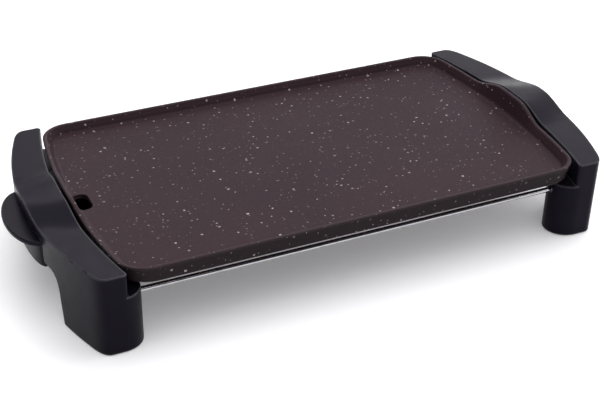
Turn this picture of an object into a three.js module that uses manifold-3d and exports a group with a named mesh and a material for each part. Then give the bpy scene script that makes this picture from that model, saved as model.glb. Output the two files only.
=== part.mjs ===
// A table-top electric griddle: a cast plate that lifts off two moulded end brackets on two steel rods.
// Millimetres, +Z up, +X along the length towards the power inlet, -Y towards the cook.
// Sub-parts are drawn about the centre of the plate's rim plane; the last lines stand the whole on z = 0.
import * as THREE from "three";
import { mergeVertices } from "three/addons/utils/BufferGeometryUtils.js";
import Module from "manifold-3d";

const wasm = await Module();
wasm.setup();

// ---------- driving dimensions ----------
const GAP = 0.3; // running gap between pieces that touch
const RIM_HEIGHT = 78; // table to the plate's rim

const PLATE_LENGTH = 460;
const PLATE_DEPTH = 280;
const PLATE_CORNER = 28;
const PLATE_END_BOW = 13.2; // how far the ends bulge in the middle
const PLATE_HEIGHT = 16;
const PLATE_TAPER = 3.5; // each side wall draws in this much over the plate's height
const PAN_DEPTH = 8.5;
const PLATE_FLOOR = 4.5;
const RIM_WIDTH = 4;
const SKIRT_WIDTH = 6;
const RIM_HUMP = 9.5;
const DRAIN = { x: -216.5, width: 16.4, length: 28, corner: 6.5 };

const BRACKET_REACH = 268; // plate centre to a bracket's outer face
const BRACKET_INNER = 234; // plate centre to a bracket's inner face
const OUTER_BOW = 26.3;
const INNER_BOW = 17;
const BRACKET_HALF = 141;
const HUMP = { height: 9, flat: 15, foot: 60 }; // half lengths of its level crest and of its foot
const OUTER_HUMP = { height: 7.2, flat: 3, foot: 48 }; // the same along a bracket's outer edge
const HUMP_EDGES = [232, 268]; // x of the two edges
const WALL = 2.6;
const FOOT_PROUD = 1;
const LEG_BOTTOM = FOOT_PROUD - RIM_HEIGHT;
const LEG_BACK = 78; // half width of the arch between the legs
const LEG_TAPER = 3.5; // the front and back walls draw in this much at the feet
const ARCH_CORNER = 15;
const SKIRT_BOTTOM = -29;
const MOUTH_HALF = 50.5; // half width of the opening in the middle of a bracket
const MOUTH_TOP = -9;
const POST = { x: 222, y: 121, radius: 20, top: -23, end: 1.22 * Math.PI };
const NOSE_START = 120; // where a bracket's outer face begins to round towards its nose
const NOSE_WIDTH = 15; // how far the rounding comes in along x
const INNER_CORNER = 3.5; // radius between a bracket's inner face and its nose
const BRACKET_SPAN = [190, 290]; // along x, wide enough to hold any part of the right bracket

const ROD = { y: 120, z: -32, radius: 2.5, end: 211.5 };
const NUT = { start: 205.7, end: 209.2, acrossFlats: 7 };

const FOOT = { x: 232, y: 110, radius: 7, height: 3.6, bossWall: 2.2 };
const REST = { x: 208, y: 113.5, base: 3.9, radius: 3 };

const ELEMENT = { radius: 3.25, z: -16.7, left: -150, right: 118, inner: 30, outer: 88 };
const CLAMP = { width: 12, wall: 1.2, tab: 9, places: [-118, 58] };
const SCREW = { shank: 1.5, head: 3, headHeight: 2 };

const INLET = { start: 205, end: 231, halfWidth: 28, top: -13.3, height: 19, wall: 1.2 };
const INLET_Z = INLET.top - INLET.height / 2;
const BLOCK_THICKNESS = 5;
const PIN = { y: 15, radius: 2.4, end: 224 };
const PROBE = { radius: 3.6, bore: 2.6, start: 150, end: 212 };

const TRAY = { back: -158, front: -262, half: 42, top: -22, bottom: -39, wall: 1.6, flange: 3.6 };
const FLANGE_FRONT = -228;
const FLANGE_THICKNESS = 2;
const TRAY_FRONT = { reach: 9, half: 44, top: -13 };
const LIP = { reach: 24, half: 48, top: -11, thickness: 4, rim: 2 };
const RUNNER = { start: -230.5, end: -160, thickness: 1.5, web: 5, tab: 12, tabHeight: 9 };
const RUNNER_INNER = TRAY.half + TRAY.flange + GAP;
const RUNNER_SCREW_Z = TRAY.top - 0.5;
const RUNNER_HOLE_Y = RUNNER_INNER + RUNNER.thickness + RUNNER.tab / 2 + 1.5;

// ---------- materials ----------
const finish = (color, roughness, metalness) =>
  new THREE.MeshStandardMaterial({ color, roughness, metalness });
const coating = finish(0x463b3e, 0.55, 0.2);
const plastic = finish(0x26272b, 0.42, 0);
const steel = finish(0xb9bbbf, 0.25, 1);
const sheath = finish(0x6d6a66, 0.5, 0.8);
const brass = finish(0xb08d4f, 0.35, 1);
const phenolic = finish(0x1c1a19, 0.6, 0);
const rubber = finish(0x1a1a1b, 0.85, 0);

// ---------- solids ----------
function solid(geometry) {
  const bare = geometry.clone();
  bare.deleteAttribute("normal");
  bare.deleteAttribute("uv");
  const merged = mergeVertices(bare, 1e-4);
  const vertProperties = merged.attributes.position.array;
  const triVerts = new Uint32Array(merged.index.array);
  return new wasm.Manifold(new wasm.Mesh({ numProp: 3, vertProperties, triVerts }));
}

const join = (first, ...rest) => rest.reduce((sum, next) => sum.add(next), first);
const cut = (first, ...rest) => rest.reduce((left, next) => left.subtract(next), first);

function geometryOf(manifold) {
  const mesh = manifold.getMesh();
  const geometry = new THREE.BufferGeometry();
  geometry.setAttribute("position", new THREE.BufferAttribute(mesh.vertProperties, 3));
  geometry.setIndex(new THREE.BufferAttribute(mesh.triVerts, 1));
  return geometry;
}

function piece(name, shape, material) {
  const geometry = shape.isBufferGeometry ? shape : geometryOf(shape);
  const mesh = new THREE.Mesh(geometry, material);
  mesh.name = name;
  return mesh;
}

// Draws a geometry in linearly below z = 0, until it is scaled by sx and sy at zBottom.
function taper(geometry, zBottom, sx, sy) {
  const position = geometry.attributes.position;
  for (let i = 0; i < position.count; i++) {
    const t = position.getZ(i) / zBottom;
    position.setX(i, position.getX(i) * (1 + (sx - 1) * t));
    position.setY(i, position.getY(i) * (1 + (sy - 1) * t));
  }
  return geometry;
}

function prismZ(shape, low, high, curveSegments = 8) {
  const options = { depth: high - low, bevelEnabled: false, curveSegments };
  return solid(new THREE.ExtrudeGeometry(shape, options).translate(0, 0, low));
}

// The shape is drawn in (y, z) and extruded along x.
function prismX(shape, low, high, curveSegments = 8) {
  const options = { depth: high - low, bevelEnabled: false, curveSegments };
  const geometry = new THREE.ExtrudeGeometry(shape, options);
  const turn = new THREE.Matrix4().set(0, 0, 1, low, 1, 0, 0, 0, 0, 1, 0, 0, 0, 0, 0, 1);
  return solid(geometry.applyMatrix4(turn));
}

function box(x0, x1, y0, y1, z0, z1) {
  const geometry = new THREE.BoxGeometry(x1 - x0, y1 - y0, z1 - z0);
  return solid(geometry.translate((x0 + x1) / 2, (y0 + y1) / 2, (z0 + z1) / 2));
}

function rodX(radius, x0, x1, y, z, sides = 16) {
  const geometry = new THREE.CylinderGeometry(radius, radius, x1 - x0, sides).rotateZ(-Math.PI / 2);
  return solid(geometry.translate((x0 + x1) / 2, y, z));
}

function rodZ(radius, z0, z1, x, y, sides = 20) {
  const geometry = new THREE.CylinderGeometry(radius, radius, z1 - z0, sides).rotateX(Math.PI / 2);
  return solid(geometry.translate(x, y, (z0 + z1) / 2));
}

// A pan-head screw along +Z, its head's underside at z = 0 and its tip at z = length.
function screwGeometry(length) {
  const { shank, head, headHeight } = SCREW;
  const points = [
    [0, -headHeight],
    [head * 0.7, -headHeight],
    [head, -headHeight * 0.6],
    [head, 0],
    [shank, 0],
    [shank, length - 1],
    [0, length],
  ];
  const profile = points.map(([r, z]) => new THREE.Vector2(r, z));
  return new THREE.LatheGeometry(profile, 12).rotateX(Math.PI / 2);
}

function roundedRectangle(x0, x1, y0, y1, r) {
  const shape = new THREE.Shape();
  shape.moveTo(x0 + r, y0);
  shape.lineTo(x1 - r, y0);
  shape.absarc(x1 - r, y0 + r, r, -Math.PI / 2, 0);
  shape.lineTo(x1, y1 - r);
  shape.absarc(x1 - r, y1 - r, r, 0, Math.PI / 2);
  shape.lineTo(x0 + r, y1);
  shape.absarc(x0 + r, y1 - r, r, Math.PI / 2, Math.PI);
  shape.lineTo(x0, y0 + r);
  shape.absarc(x0 + r, y0 + r, r, Math.PI, 1.5 * Math.PI);
  return shape;
}

// ---------- shared curves ----------
function smoothStep(t) {
  const c = Math.min(1, Math.max(0, t));
  return c * c * (3 - 2 * c);
}

// Height of a hump at a distance y from the middle.
const humpAt = (y, { height, flat, foot }) => height * smoothStep((foot - Math.abs(y)) / (foot - flat));

// The line of a top edge, from back to front, raised by a hump.
function humpLine(hump, z, half) {
  const steps = 20;
  const points = [new THREE.Vector2(half, z)];
  for (let i = 0; i <= steps; i++) {
    const y = hump.foot * (1 - (2 * i) / steps);
    points.push(new THREE.Vector2(y, z + humpAt(y, hump)));
  }
  points.push(new THREE.Vector2(-half, z));
  return points;
}

const bowRadius = (bow) => (PLATE_DEPTH / 2) ** 2 / (2 * bow);

// Points on an end's bowed line from y0 to y1.
function bowLine(reach, bow, y0, y1, steps) {
  const radius = bowRadius(bow);
  const at = (y) => new THREE.Vector2(reach - radius + Math.sqrt(radius ** 2 - y ** 2), y);
  return Array.from({ length: steps + 1 }, (_, i) => at(y0 + ((y1 - y0) * i) / steps));
}

// ---------- the plate ----------
// The plate's outline, its long sides straight and its ends bowed, drawn in by inset.
function plateOutline(inset) {
  const halfLength = PLATE_LENGTH / 2 - inset;
  const halfDepth = PLATE_DEPTH / 2 - inset;
  const corner = PLATE_CORNER - inset;
  const radius = bowRadius(PLATE_END_BOW) - inset;
  const bowX = halfLength - radius;
  const cornerY = halfDepth - corner;
  const cornerX = bowX + Math.sqrt((radius - corner) ** 2 - cornerY ** 2);
  const turn = Math.atan2(cornerY, cornerX - bowX);
  const shape = new THREE.Shape();
  shape.moveTo(-cornerX, -halfDepth);
  shape.absarc(cornerX, -cornerY, corner, -Math.PI / 2, -turn);
  shape.absarc(bowX, 0, radius, -turn, turn);
  shape.absarc(cornerX, cornerY, corner, turn, Math.PI / 2);
  shape.absarc(-cornerX, cornerY, corner, Math.PI / 2, Math.PI - turn);
  shape.absarc(-bowX, 0, radius, Math.PI - turn, Math.PI + turn);
  shape.absarc(-cornerX, -cornerY, corner, Math.PI + turn, 1.5 * Math.PI);
  return shape;
}

// A prism on a plate outline whose walls draw in towards the table.
function tapered(shape, low, high) {
  const options = { depth: high - low, bevelEnabled: false, curveSegments: 10 };
  const geometry = new THREE.ExtrudeGeometry(shape, options).translate(0, 0, low);
  const sx = 1 - (2 * PLATE_TAPER) / PLATE_LENGTH;
  const sy = 1 - (2 * PLATE_TAPER) / PLATE_DEPTH;
  return solid(taper(geometry, -PLATE_HEIGHT, sx, sy));
}

function griddlePlate() {
  const half = PLATE_DEPTH / 2 + 5;
  const rimHump = { ...HUMP, height: RIM_HUMP };
  const side = [...humpLine(rimHump, 0, half), new THREE.Vector2(-half, -PLATE_HEIGHT)];
  side.push(new THREE.Vector2(half, -PLATE_HEIGHT));
  const block = tapered(plateOutline(0), -PLATE_HEIGHT, RIM_HUMP + 5);
  const profile = prismX(new THREE.Shape(side.reverse()), -PLATE_LENGTH, PLATE_LENGTH);
  const pan = tapered(plateOutline(RIM_WIDTH), -PAN_DEPTH, RIM_HUMP + 6);
  const underside = -PAN_DEPTH - PLATE_FLOOR;
  const recess = tapered(plateOutline(SKIRT_WIDTH), -PLATE_HEIGHT - 1, underside);
  const x0 = DRAIN.x - DRAIN.width / 2;
  const hole = roundedRectangle(x0, x0 + DRAIN.width, -DRAIN.length / 2, DRAIN.length / 2, DRAIN.corner);
  const drain = prismZ(hole, -PLATE_HEIGHT, 0, 4);
  const screwHoles = clampPlaces().map(([x, y]) =>
    rodZ(SCREW.shank + GAP, underside - 1, underside + 3, x, screwY(y), 12),
  );
  const notchHalf = INLET.halfWidth + GAP;
  const notch = box(INLET.start - 10, INLET.end + 10, -notchHalf, notchHalf, -PLATE_HEIGHT - 1, underside);
  const plate = cut(block.intersect(profile), pan, recess, notch, drain, ...screwHoles);
  return piece("griddle_plate", plate, coating);
}

// ---------- the heating element and its clamps ----------
// The element's route: out along the back, in, across the middle, and the same again at the front.
function elementPath() {
  const { z, left, right, inner, outer } = ELEMENT;
  const path = new THREE.CurvePath();
  const turnRadius = (outer - inner) / 2;
  const middle = (outer + inner) / 2;
  const point = (x, y) => new THREE.Vector3(x, y, z);
  const line = (a, b) => path.add(new THREE.LineCurve3(a, b));
  const arc = (cx, cy, radius, from, to) => {
    const quarter = (a, b) => {
      const handle = (4 / 3) * Math.tan((b - a) / 4) * radius;
      const at = (t) => [cx + radius * Math.cos(t), cy + radius * Math.sin(t)];
      const [ax, ay] = at(a);
      const [bx, by] = at(b);
      const c1 = point(ax - handle * Math.sin(a), ay + handle * Math.cos(a));
      const c2 = point(bx + handle * Math.sin(b), by - handle * Math.cos(b));
      path.add(new THREE.CubicBezierCurve3(point(ax, ay), c1, c2, point(bx, by)));
    };
    const mid = (from + to) / 2;
    quarter(from, mid);
    quarter(mid, to);
  };
  const tail = (side) => {
    const start = new THREE.Vector3(INLET.start - BLOCK_THICKNESS - GAP, side * PIN.y, INLET_Z);
    const low = new THREE.Vector3(start.x - 26, start.y, z);
    const corner = point(start.x - 40, side * outer);
    const end = point(start.x - 80, side * outer);
    const drop = new THREE.CubicBezierCurve3(
      start,
      new THREE.Vector3(start.x - 14, start.y, INLET_Z),
      new THREE.Vector3(low.x + 12, start.y, z),
      low,
    );
    const sweep = new THREE.CubicBezierCurve3(low, point(low.x - 22, start.y), corner, end);
    return [drop, sweep];
  };
  const [backDrop, backSweep] = tail(1);
  path.add(backDrop);
  path.add(backSweep);
  const sweepEnd = backSweep.v3.x;
  line(point(sweepEnd, outer), point(left, outer));
  arc(left, middle, turnRadius, Math.PI / 2, 1.5 * Math.PI);
  line(point(left, inner), point(right - inner, inner));
  arc(right - inner, 0, inner, Math.PI / 2, -Math.PI / 2);
  line(point(right - inner, -inner), point(left, -inner));
  arc(left, -middle, turnRadius, Math.PI / 2, 1.5 * Math.PI);
  line(point(left, -outer), point(sweepEnd, -outer));
  const [frontDrop, frontSweep] = tail(-1);
  const back = (c) => new THREE.CubicBezierCurve3(c.v3, c.v2, c.v1, c.v0);
  path.add(back(frontSweep));
  path.add(back(frontDrop));
  return path;
}

// A tube along a path that is made of lines and curves: straight stretches take one step each.
function tubeAlong(path, radius, sides, stepsPerCurve) {
  const points = path.curves.flatMap((curve, i) => {
    const own = curve.isLineCurve3 ? curve.getPoints(1) : curve.getPoints(stepsPerCurve);
    return i ? own.slice(1) : own;
  });
  const polyline = new THREE.Curve();
  polyline.getPoint = (t, target = new THREE.Vector3()) => {
    const at = t * (points.length - 1);
    const k = Math.min(points.length - 2, Math.floor(at));
    return target.lerpVectors(points[k], points[k + 1], at - k);
  };
  polyline.getPointAt = polyline.getPoint;
  polyline.getTangentAt = (t) => {
    const at = Math.round(t * (points.length - 1));
    const before = points[Math.max(0, at - 1)];
    const after = points[Math.min(points.length - 1, at + 1)];
    return after.clone().sub(before).normalize();
  };
  const section = new THREE.Shape(
    Array.from({ length: sides }, (_, i) => {
      const a = (2 * Math.PI * i) / sides;
      return new THREE.Vector2(radius * Math.cos(a), radius * Math.sin(a));
    }),
  );
  return new THREE.ExtrudeGeometry(section, { steps: points.length - 1, extrudePath: polyline });
}

const clampPlaces = () => CLAMP.places.flatMap((x) => [[x, ELEMENT.outer], [x, -ELEMENT.outer]]);
const screwY = (y) => y + Math.sign(y) * (ELEMENT.radius + CLAMP.wall + CLAMP.tab / 2 + 1);

// An omega-shaped strap over the element's tube, screwed up into the plate's floor.
function elementClamp(name, x, y) {
  const top = -PAN_DEPTH - PLATE_FLOOR - GAP;
  const inner = ELEMENT.radius + GAP;
  const outer = inner + CLAMP.wall;
  const far = outer + CLAMP.tab;
  const shape = new THREE.Shape();
  shape.moveTo(-far, top);
  shape.lineTo(-far, top - CLAMP.wall);
  shape.lineTo(-outer, top - CLAMP.wall);
  shape.lineTo(-outer, ELEMENT.z);
  shape.absarc(0, ELEMENT.z, outer, Math.PI, 2 * Math.PI);
  shape.lineTo(outer, top - CLAMP.wall);
  shape.lineTo(far, top - CLAMP.wall);
  shape.lineTo(far, top);
  shape.lineTo(inner, top);
  shape.lineTo(inner, ELEMENT.z);
  shape.absarc(0, ELEMENT.z, inner, 2 * Math.PI, Math.PI, true);
  shape.lineTo(-inner, top);
  const strap = prismX(shape, x - CLAMP.width / 2, x + CLAMP.width / 2, 6).translate([0, y, 0]);
  const hole = rodZ(SCREW.shank + GAP, top - 3, top + 1, x, screwY(y), 12);
  return piece(name, cut(strap, hole), steel);
}

function clampScrew(name, x, y) {
  const head = -PAN_DEPTH - PLATE_FLOOR - GAP - CLAMP.wall - GAP;
  const geometry = screwGeometry(4);
  return piece(name, geometry.translate(x, screwY(y), head), steel);
}

function heatingParts() {
  const parts = [piece("heating_element", tubeAlong(elementPath(), ELEMENT.radius, 10, 7), sheath)];
  clampPlaces().forEach(([x, y], i) => {
    parts.push(elementClamp(`element_clamp_${i + 1}`, x, y));
    parts.push(clampScrew(`element_clamp_screw_${i + 1}`, x, y));
  });
  return parts;
}

// ---------- the power inlet ----------
function inletOutline(inset) {
  const half = INLET.halfWidth - inset;
  const high = INLET.height / 2 - inset;
  return roundedRectangle(-half, half, INLET_Z - high, INLET_Z + high, high * 0.9);
}

function inletShroud() {
  const outside = prismX(inletOutline(0), INLET.start, INLET.end, 6);
  const inside = prismX(inletOutline(INLET.wall), INLET.start - 1, INLET.end + 1, 6);
  return piece("inlet_shroud", cut(outside, inside), steel);
}

function terminalBlock() {
  const back = INLET.start - BLOCK_THICKNESS;
  const body = prismX(inletOutline(0), back, INLET.start - GAP, 6);
  const bores = [-1, 1].map((s) => rodX(PIN.radius + GAP, back - 1, INLET.start + 1, s * PIN.y, INLET_Z));
  const probe = rodX(PROBE.radius + GAP, back - 1, INLET.start + 1, 0, INLET_Z);
  return piece("terminal_block", cut(body, ...bores, probe), phenolic);
}

function terminalPin(name, side) {
  const start = INLET.start - BLOCK_THICKNESS;
  const nose = PIN.radius * 0.6;
  const profile = [
    [0, 0],
    [PIN.radius, 0],
    [PIN.radius, PIN.end - start - 1.5],
    [nose, PIN.end - start],
    [0, PIN.end - start],
  ].map(([r, z]) => new THREE.Vector2(r, z));
  const geometry = new THREE.LatheGeometry(profile, 14).rotateZ(-Math.PI / 2);
  return piece(name, geometry.translate(start, side * PIN.y, INLET_Z), brass);
}

// The closed tube that takes the thermostat plug's probe.
function probeSleeve() {
  const tube = rodX(PROBE.radius, PROBE.start, PROBE.end, 0, INLET_Z);
  const bore = rodX(PROBE.bore, PROBE.start + 2, PROBE.end + 1, 0, INLET_Z);
  return piece("probe_sleeve", cut(tube, bore), steel);
}

// ---------- the end brackets ----------
// Offsets an anticlockwise outline inwards by a distance.
function shrink(points, distance) {
  const count = points.length;
  return points.map((p, i) => {
    const before = p.clone().sub(points[(i + count - 1) % count]).normalize();
    const after = points[(i + 1) % count].clone().sub(p).normalize();
    const mean = before.clone().add(after).normalize();
    const reach = distance / Math.max(0.5, mean.dot(before));
    return new THREE.Vector2(p.x - mean.y * reach, p.y + mean.x * reach);
  });
}

// The points that round a bracket's outer face into its rear nose, from (x, NOSE_START) on.
function nosePoints(x) {
  return [
    [x - 3.5, NOSE_START + 11],
    [x - 7, BRACKET_HALF],
    [x - NOSE_WIDTH, BRACKET_HALF],
  ];
}

// Plan of a bracket's top band: bowed outside and inside, with a blunt nose at each end.
function bandOutline() {
  const outer = bowLine(BRACKET_REACH, OUTER_BOW, -NOSE_START, NOSE_START, 14);
  const [c1, c2, tip] = nosePoints(outer[0].x);
  const innerEnd = BRACKET_HALF - INNER_CORNER;
  const inner = bowLine(BRACKET_INNER, INNER_BOW, innerEnd, -innerEnd, 12);
  const corner = inner[0].x;
  const shape = new THREE.Shape(outer);
  shape.bezierCurveTo(...c1, ...c2, ...tip);
  shape.lineTo(corner + INNER_CORNER, BRACKET_HALF);
  shape.quadraticCurveTo(corner, BRACKET_HALF, corner, innerEnd);
  inner.slice(1).forEach((p) => shape.lineTo(p.x, p.y));
  shape.quadraticCurveTo(corner, -BRACKET_HALF, corner + INNER_CORNER, -BRACKET_HALF);
  shape.lineTo(tip[0], -BRACKET_HALF);
  shape.bezierCurveTo(c2[0], -c2[1], c1[0], -c1[1], outer[0].x, -NOSE_START);
  return shape.getPoints(6).slice(0, -1);
}

// Plan of the back leg: the band's end with a round post under the plate's corner.
function legOutline() {
  const outer = bowLine(BRACKET_REACH, OUTER_BOW, LEG_BACK + 5, NOSE_START, 5);
  const shape = new THREE.Shape(outer);
  const [c1, c2, tip] = nosePoints(outer[outer.length - 1].x);
  shape.bezierCurveTo(...c1, ...c2, ...tip);
  const { x: postX, y: postY, radius, end } = POST;
  shape.absarc(postX, postY, radius, Math.PI / 2, end);
  shape.quadraticCurveTo(postX + 4, LEG_BACK + 8, postX + 12, LEG_BACK);
  shape.lineTo(BRACKET_REACH - 13, LEG_BACK);
  return shape.getPoints(8);
}

// Side view of a bracket: the hump on top, the legs, the arch and the mouth between them.
function sideOutline() {
  const far = BRACKET_HALF + 5;
  const r = ARCH_CORNER;
  const foot = LEG_BACK + 3;
  const mouthCorner = 4;
  const shape = new THREE.Shape(humpLine(HUMP, 0, far));
  shape.lineTo(-far, LEG_BOTTOM);
  shape.lineTo(-foot, LEG_BOTTOM);
  shape.lineTo(-LEG_BACK, SKIRT_BOTTOM - r - 10);
  shape.quadraticCurveTo(-LEG_BACK, SKIRT_BOTTOM, -LEG_BACK + r, SKIRT_BOTTOM);
  shape.lineTo(-MOUTH_HALF, SKIRT_BOTTOM);
  shape.lineTo(-MOUTH_HALF, MOUTH_TOP - mouthCorner);
  shape.quadraticCurveTo(-MOUTH_HALF, MOUTH_TOP, -MOUTH_HALF + mouthCorner, MOUTH_TOP);
  shape.lineTo(MOUTH_HALF - mouthCorner, MOUTH_TOP);
  shape.quadraticCurveTo(MOUTH_HALF, MOUTH_TOP, MOUTH_HALF, MOUTH_TOP - mouthCorner);
  shape.lineTo(MOUTH_HALF, SKIRT_BOTTOM);
  shape.lineTo(LEG_BACK - r, SKIRT_BOTTOM);
  shape.quadraticCurveTo(LEG_BACK, SKIRT_BOTTOM, LEG_BACK, SKIRT_BOTTOM - r - 10);
  shape.lineTo(foot, LEG_BOTTOM);
  shape.lineTo(far, LEG_BOTTOM);
  return new THREE.Shape(shape.getPoints(5));
}

// One leg's hollow, its foot boss and its bores, at the back of the right bracket.
function legDetails() {
  const band = new THREE.Shape(shrink(bandOutline(), WALL));
  const leg = new THREE.Shape(shrink(legOutline(), WALL));
  const backWall = LEG_BACK + WALL + 1.5;
  const behindArch = box(...BRACKET_SPAN, backWall, BRACKET_HALF, LEG_BOTTOM - 5, 0);
  const column = prismZ(band, LEG_BOTTOM - 5, -WALL, 6);
  const hollow = join(
    column.intersect(behindArch),
    prismZ(leg, LEG_BOTTOM - 5, POST.top - WALL, 6).intersect(behindArch),
  );
  const footTop = FOOT.height - RIM_HEIGHT + GAP;
  const socketRadius = FOOT.radius + GAP;
  const footBoss = rodZ(socketRadius + FOOT.bossWall, LEG_BOTTOM, POST.top - 1, FOOT.x, FOOT.y);
  const footSocket = rodZ(socketRadius, LEG_BOTTOM - 1, footTop, FOOT.x, FOOT.y);
  const rodBore = rodX(ROD.radius + GAP, POST.x - POST.radius - 1, ROD.end, ROD.y, ROD.z);
  return { hollow, footBoss, footSocket, rodBore };
}

// Turns a prism's top from the hump of a bracket's inner edge to that of its outer edge, along x.
function leanHump(prism) {
  const [inner, outer] = HUMP_EDGES;
  return prism.warp((vertex) => {
    const [x, y, z] = vertex;
    if (z > MOUTH_TOP) {
      vertex[2] = z + ((humpAt(y, OUTER_HUMP) - humpAt(y, HUMP)) * (x - inner)) / (outer - inner);
    }
  });
}

const mirrorY = (manifold) => manifold.mirror([0, 1, 0]);

// The right bracket, as one moulding that is open underneath.
function bracketSolid() {
  const leg = prismZ(new THREE.Shape(legOutline()), LEG_BOTTOM, POST.top, 6);
  const band = prismZ(new THREE.Shape(bandOutline()), LEG_BOTTOM, HUMP.height + 5, 6);
  const profile = leanHump(prismX(sideOutline(), ...BRACKET_SPAN));
  const { hollow, footBoss, footSocket, rodBore } = legDetails();
  const outside = join(band.intersect(profile), leg, mirrorY(leg));
  const inner = new THREE.Shape(shrink(bandOutline(), WALL));
  const troughHalf = LEG_BACK - 0.5;
  const roof = humpLine(HUMP, -WALL, troughHalf);
  roof.push(new THREE.Vector2(-troughHalf, LEG_BOTTOM), new THREE.Vector2(troughHalf, LEG_BOTTOM));
  const underRoof = leanHump(prismX(new THREE.Shape(roof), ...BRACKET_SPAN));
  const trough = prismZ(inner, LEG_BOTTOM - 1, HUMP.height, 6).intersect(underRoof);
  const hollowed = cut(outside, trough, hollow, mirrorY(hollow));
  return cut(
    join(hollowed, footBoss, mirrorY(footBoss)),
    footSocket,
    mirrorY(footSocket),
    rodBore,
    mirrorY(rodBore),
    screwHoles(),
  );
}

// Pilot holes for the screws that hold the tray's runners, in both brackets because they share a mould.
function screwHoles() {
  const radius = SCREW.shank + GAP;
  const bore = rodX(radius, BRACKET_INNER - 8, BRACKET_INNER + 4, RUNNER_HOLE_Y, RUNNER_SCREW_Z, 12);
  return join(bore, mirrorY(bore));
}

function bracket(name, side) {
  const right = bracketSolid();
  const own = side > 0 ? right : right.mirror([1, 0, 0]);
  const sy = 1 - LEG_TAPER / BRACKET_HALF;
  return piece(name, taper(geometryOf(own), LEG_BOTTOM, 1, sy), plastic);
}

// ---------- rods, nuts, feet and rests ----------
// The brackets' walls draw in slightly towards the feet, and what they hold follows.
const drawnIn = (y, z) => y * (1 + (-LEG_TAPER / BRACKET_HALF) * (z / LEG_BOTTOM));

function tieRod(name, side) {
  const y = side * drawnIn(ROD.y, ROD.z);
  return piece(name, rodX(ROD.radius, -ROD.end, ROD.end, y, ROD.z, 20), steel);
}

function rodNut(name, sx, sy) {
  const y = sy * drawnIn(ROD.y, ROD.z);
  const radius = NUT.acrossFlats / Math.sqrt(3);
  const x0 = sx > 0 ? NUT.start : -NUT.end;
  const x1 = sx > 0 ? NUT.end : -NUT.start;
  const nut = cut(rodX(radius, x0, x1, y, ROD.z, 6), rodX(ROD.radius + 0.2, x0 - 1, x1 + 1, y, ROD.z, 20));
  return piece(name, nut, steel);
}

function rubberFoot(name, sx, sy) {
  const profile = [
    [0, 0],
    [FOOT.radius - 0.8, 0],
    [FOOT.radius, 0.8],
    [FOOT.radius, FOOT.height],
    [0, FOOT.height],
  ].map(([r, z]) => new THREE.Vector2(r, z));
  const geometry = new THREE.LatheGeometry(profile, 20).rotateX(Math.PI / 2);
  const y = sy * drawnIn(FOOT.y, LEG_BOTTOM);
  return piece(name, geometry.translate(sx * FOOT.x, y, -RIM_HEIGHT), rubber);
}

// A heat-proof stud on a post, which the plate's floor rests on.
function plateRest(name, sx, sy) {
  const height = -PAN_DEPTH - PLATE_FLOOR - GAP - POST.top - GAP;
  const profile = [
    [0, 0],
    [REST.base, 0],
    [REST.base, 2],
    [REST.radius, 3],
    [REST.radius, height - 0.6],
    [REST.radius - 0.6, height],
    [0, height],
  ].map(([r, z]) => new THREE.Vector2(r, z));
  const geometry = new THREE.LatheGeometry(profile, 16).rotateX(Math.PI / 2);
  const y = sy * drawnIn(REST.y, POST.top);
  return piece(name, geometry.translate(sx * REST.x, y, POST.top + GAP), phenolic);
}

function cornerParts() {
  const ends = [["left", -1], ["right", 1]];
  const sides = [["front", -1], ["rear", 1]];
  return ends.flatMap(([end, sx]) =>
    sides.flatMap(([side, sy]) => [
      rodNut(`rod_nut_${side}_${end}`, sx, sy),
      rubberFoot(`foot_${side}_${end}`, sx, sy),
      plateRest(`plate_rest_${side}_${end}`, sx, sy),
    ]),
  );
}

// ---------- the drip tray and its runners ----------
// Half an ellipse that bulges towards -X from the tray's front line.
function frontOutline(reach, half, back) {
  const shape = new THREE.Shape();
  shape.moveTo(back, -half);
  shape.lineTo(back, half);
  shape.lineTo(TRAY.front, half);
  shape.absellipse(TRAY.front, 0, reach, half, Math.PI / 2, 1.5 * Math.PI);
  return shape;
}

function dripTray() {
  const { back, front, half, top, bottom, wall, flange } = TRAY;
  const inner = half - wall;
  const body = join(
    prismZ(roundedRectangle(front - 1, back, -half, half, 6), bottom, top, 4),
    box(FLANGE_FRONT, back, -half - flange, half + flange, top - FLANGE_THICKNESS, top),
    prismZ(frontOutline(TRAY_FRONT.reach, TRAY_FRONT.half, front + 3), bottom, TRAY_FRONT.top, 14),
  );
  const inside = join(
    prismZ(roundedRectangle(front + 1, back - wall, -inner, inner, 5), bottom + wall, 0, 4),
    prismZ(frontOutline(TRAY_FRONT.reach - wall, inner, front + 4), bottom + wall, 0, 14),
  );
  const { reach, half: lipHalf, top: lipTop, thickness, rim } = LIP;
  const lipPlate = prismZ(frontOutline(reach, lipHalf, front + 2), lipTop - thickness, lipTop, 20);
  const grip = prismZ(frontOutline(reach - rim, lipHalf - rim, front + 2), lipTop - 10, lipTop - rim, 20);
  const core = prismZ(frontOutline(TRAY_FRONT.reach, TRAY_FRONT.half, front + 3), bottom, lipTop, 14);
  const under = cut(grip, core);
  const opening = prismZ(frontOutline(2, 30, front + 4), lipTop - 9, lipTop + 2, 6);
  const tray = join(cut(body, inside), cut(lipPlate, under, opening));
  return piece("drip_tray", tray, plastic);
}

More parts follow.
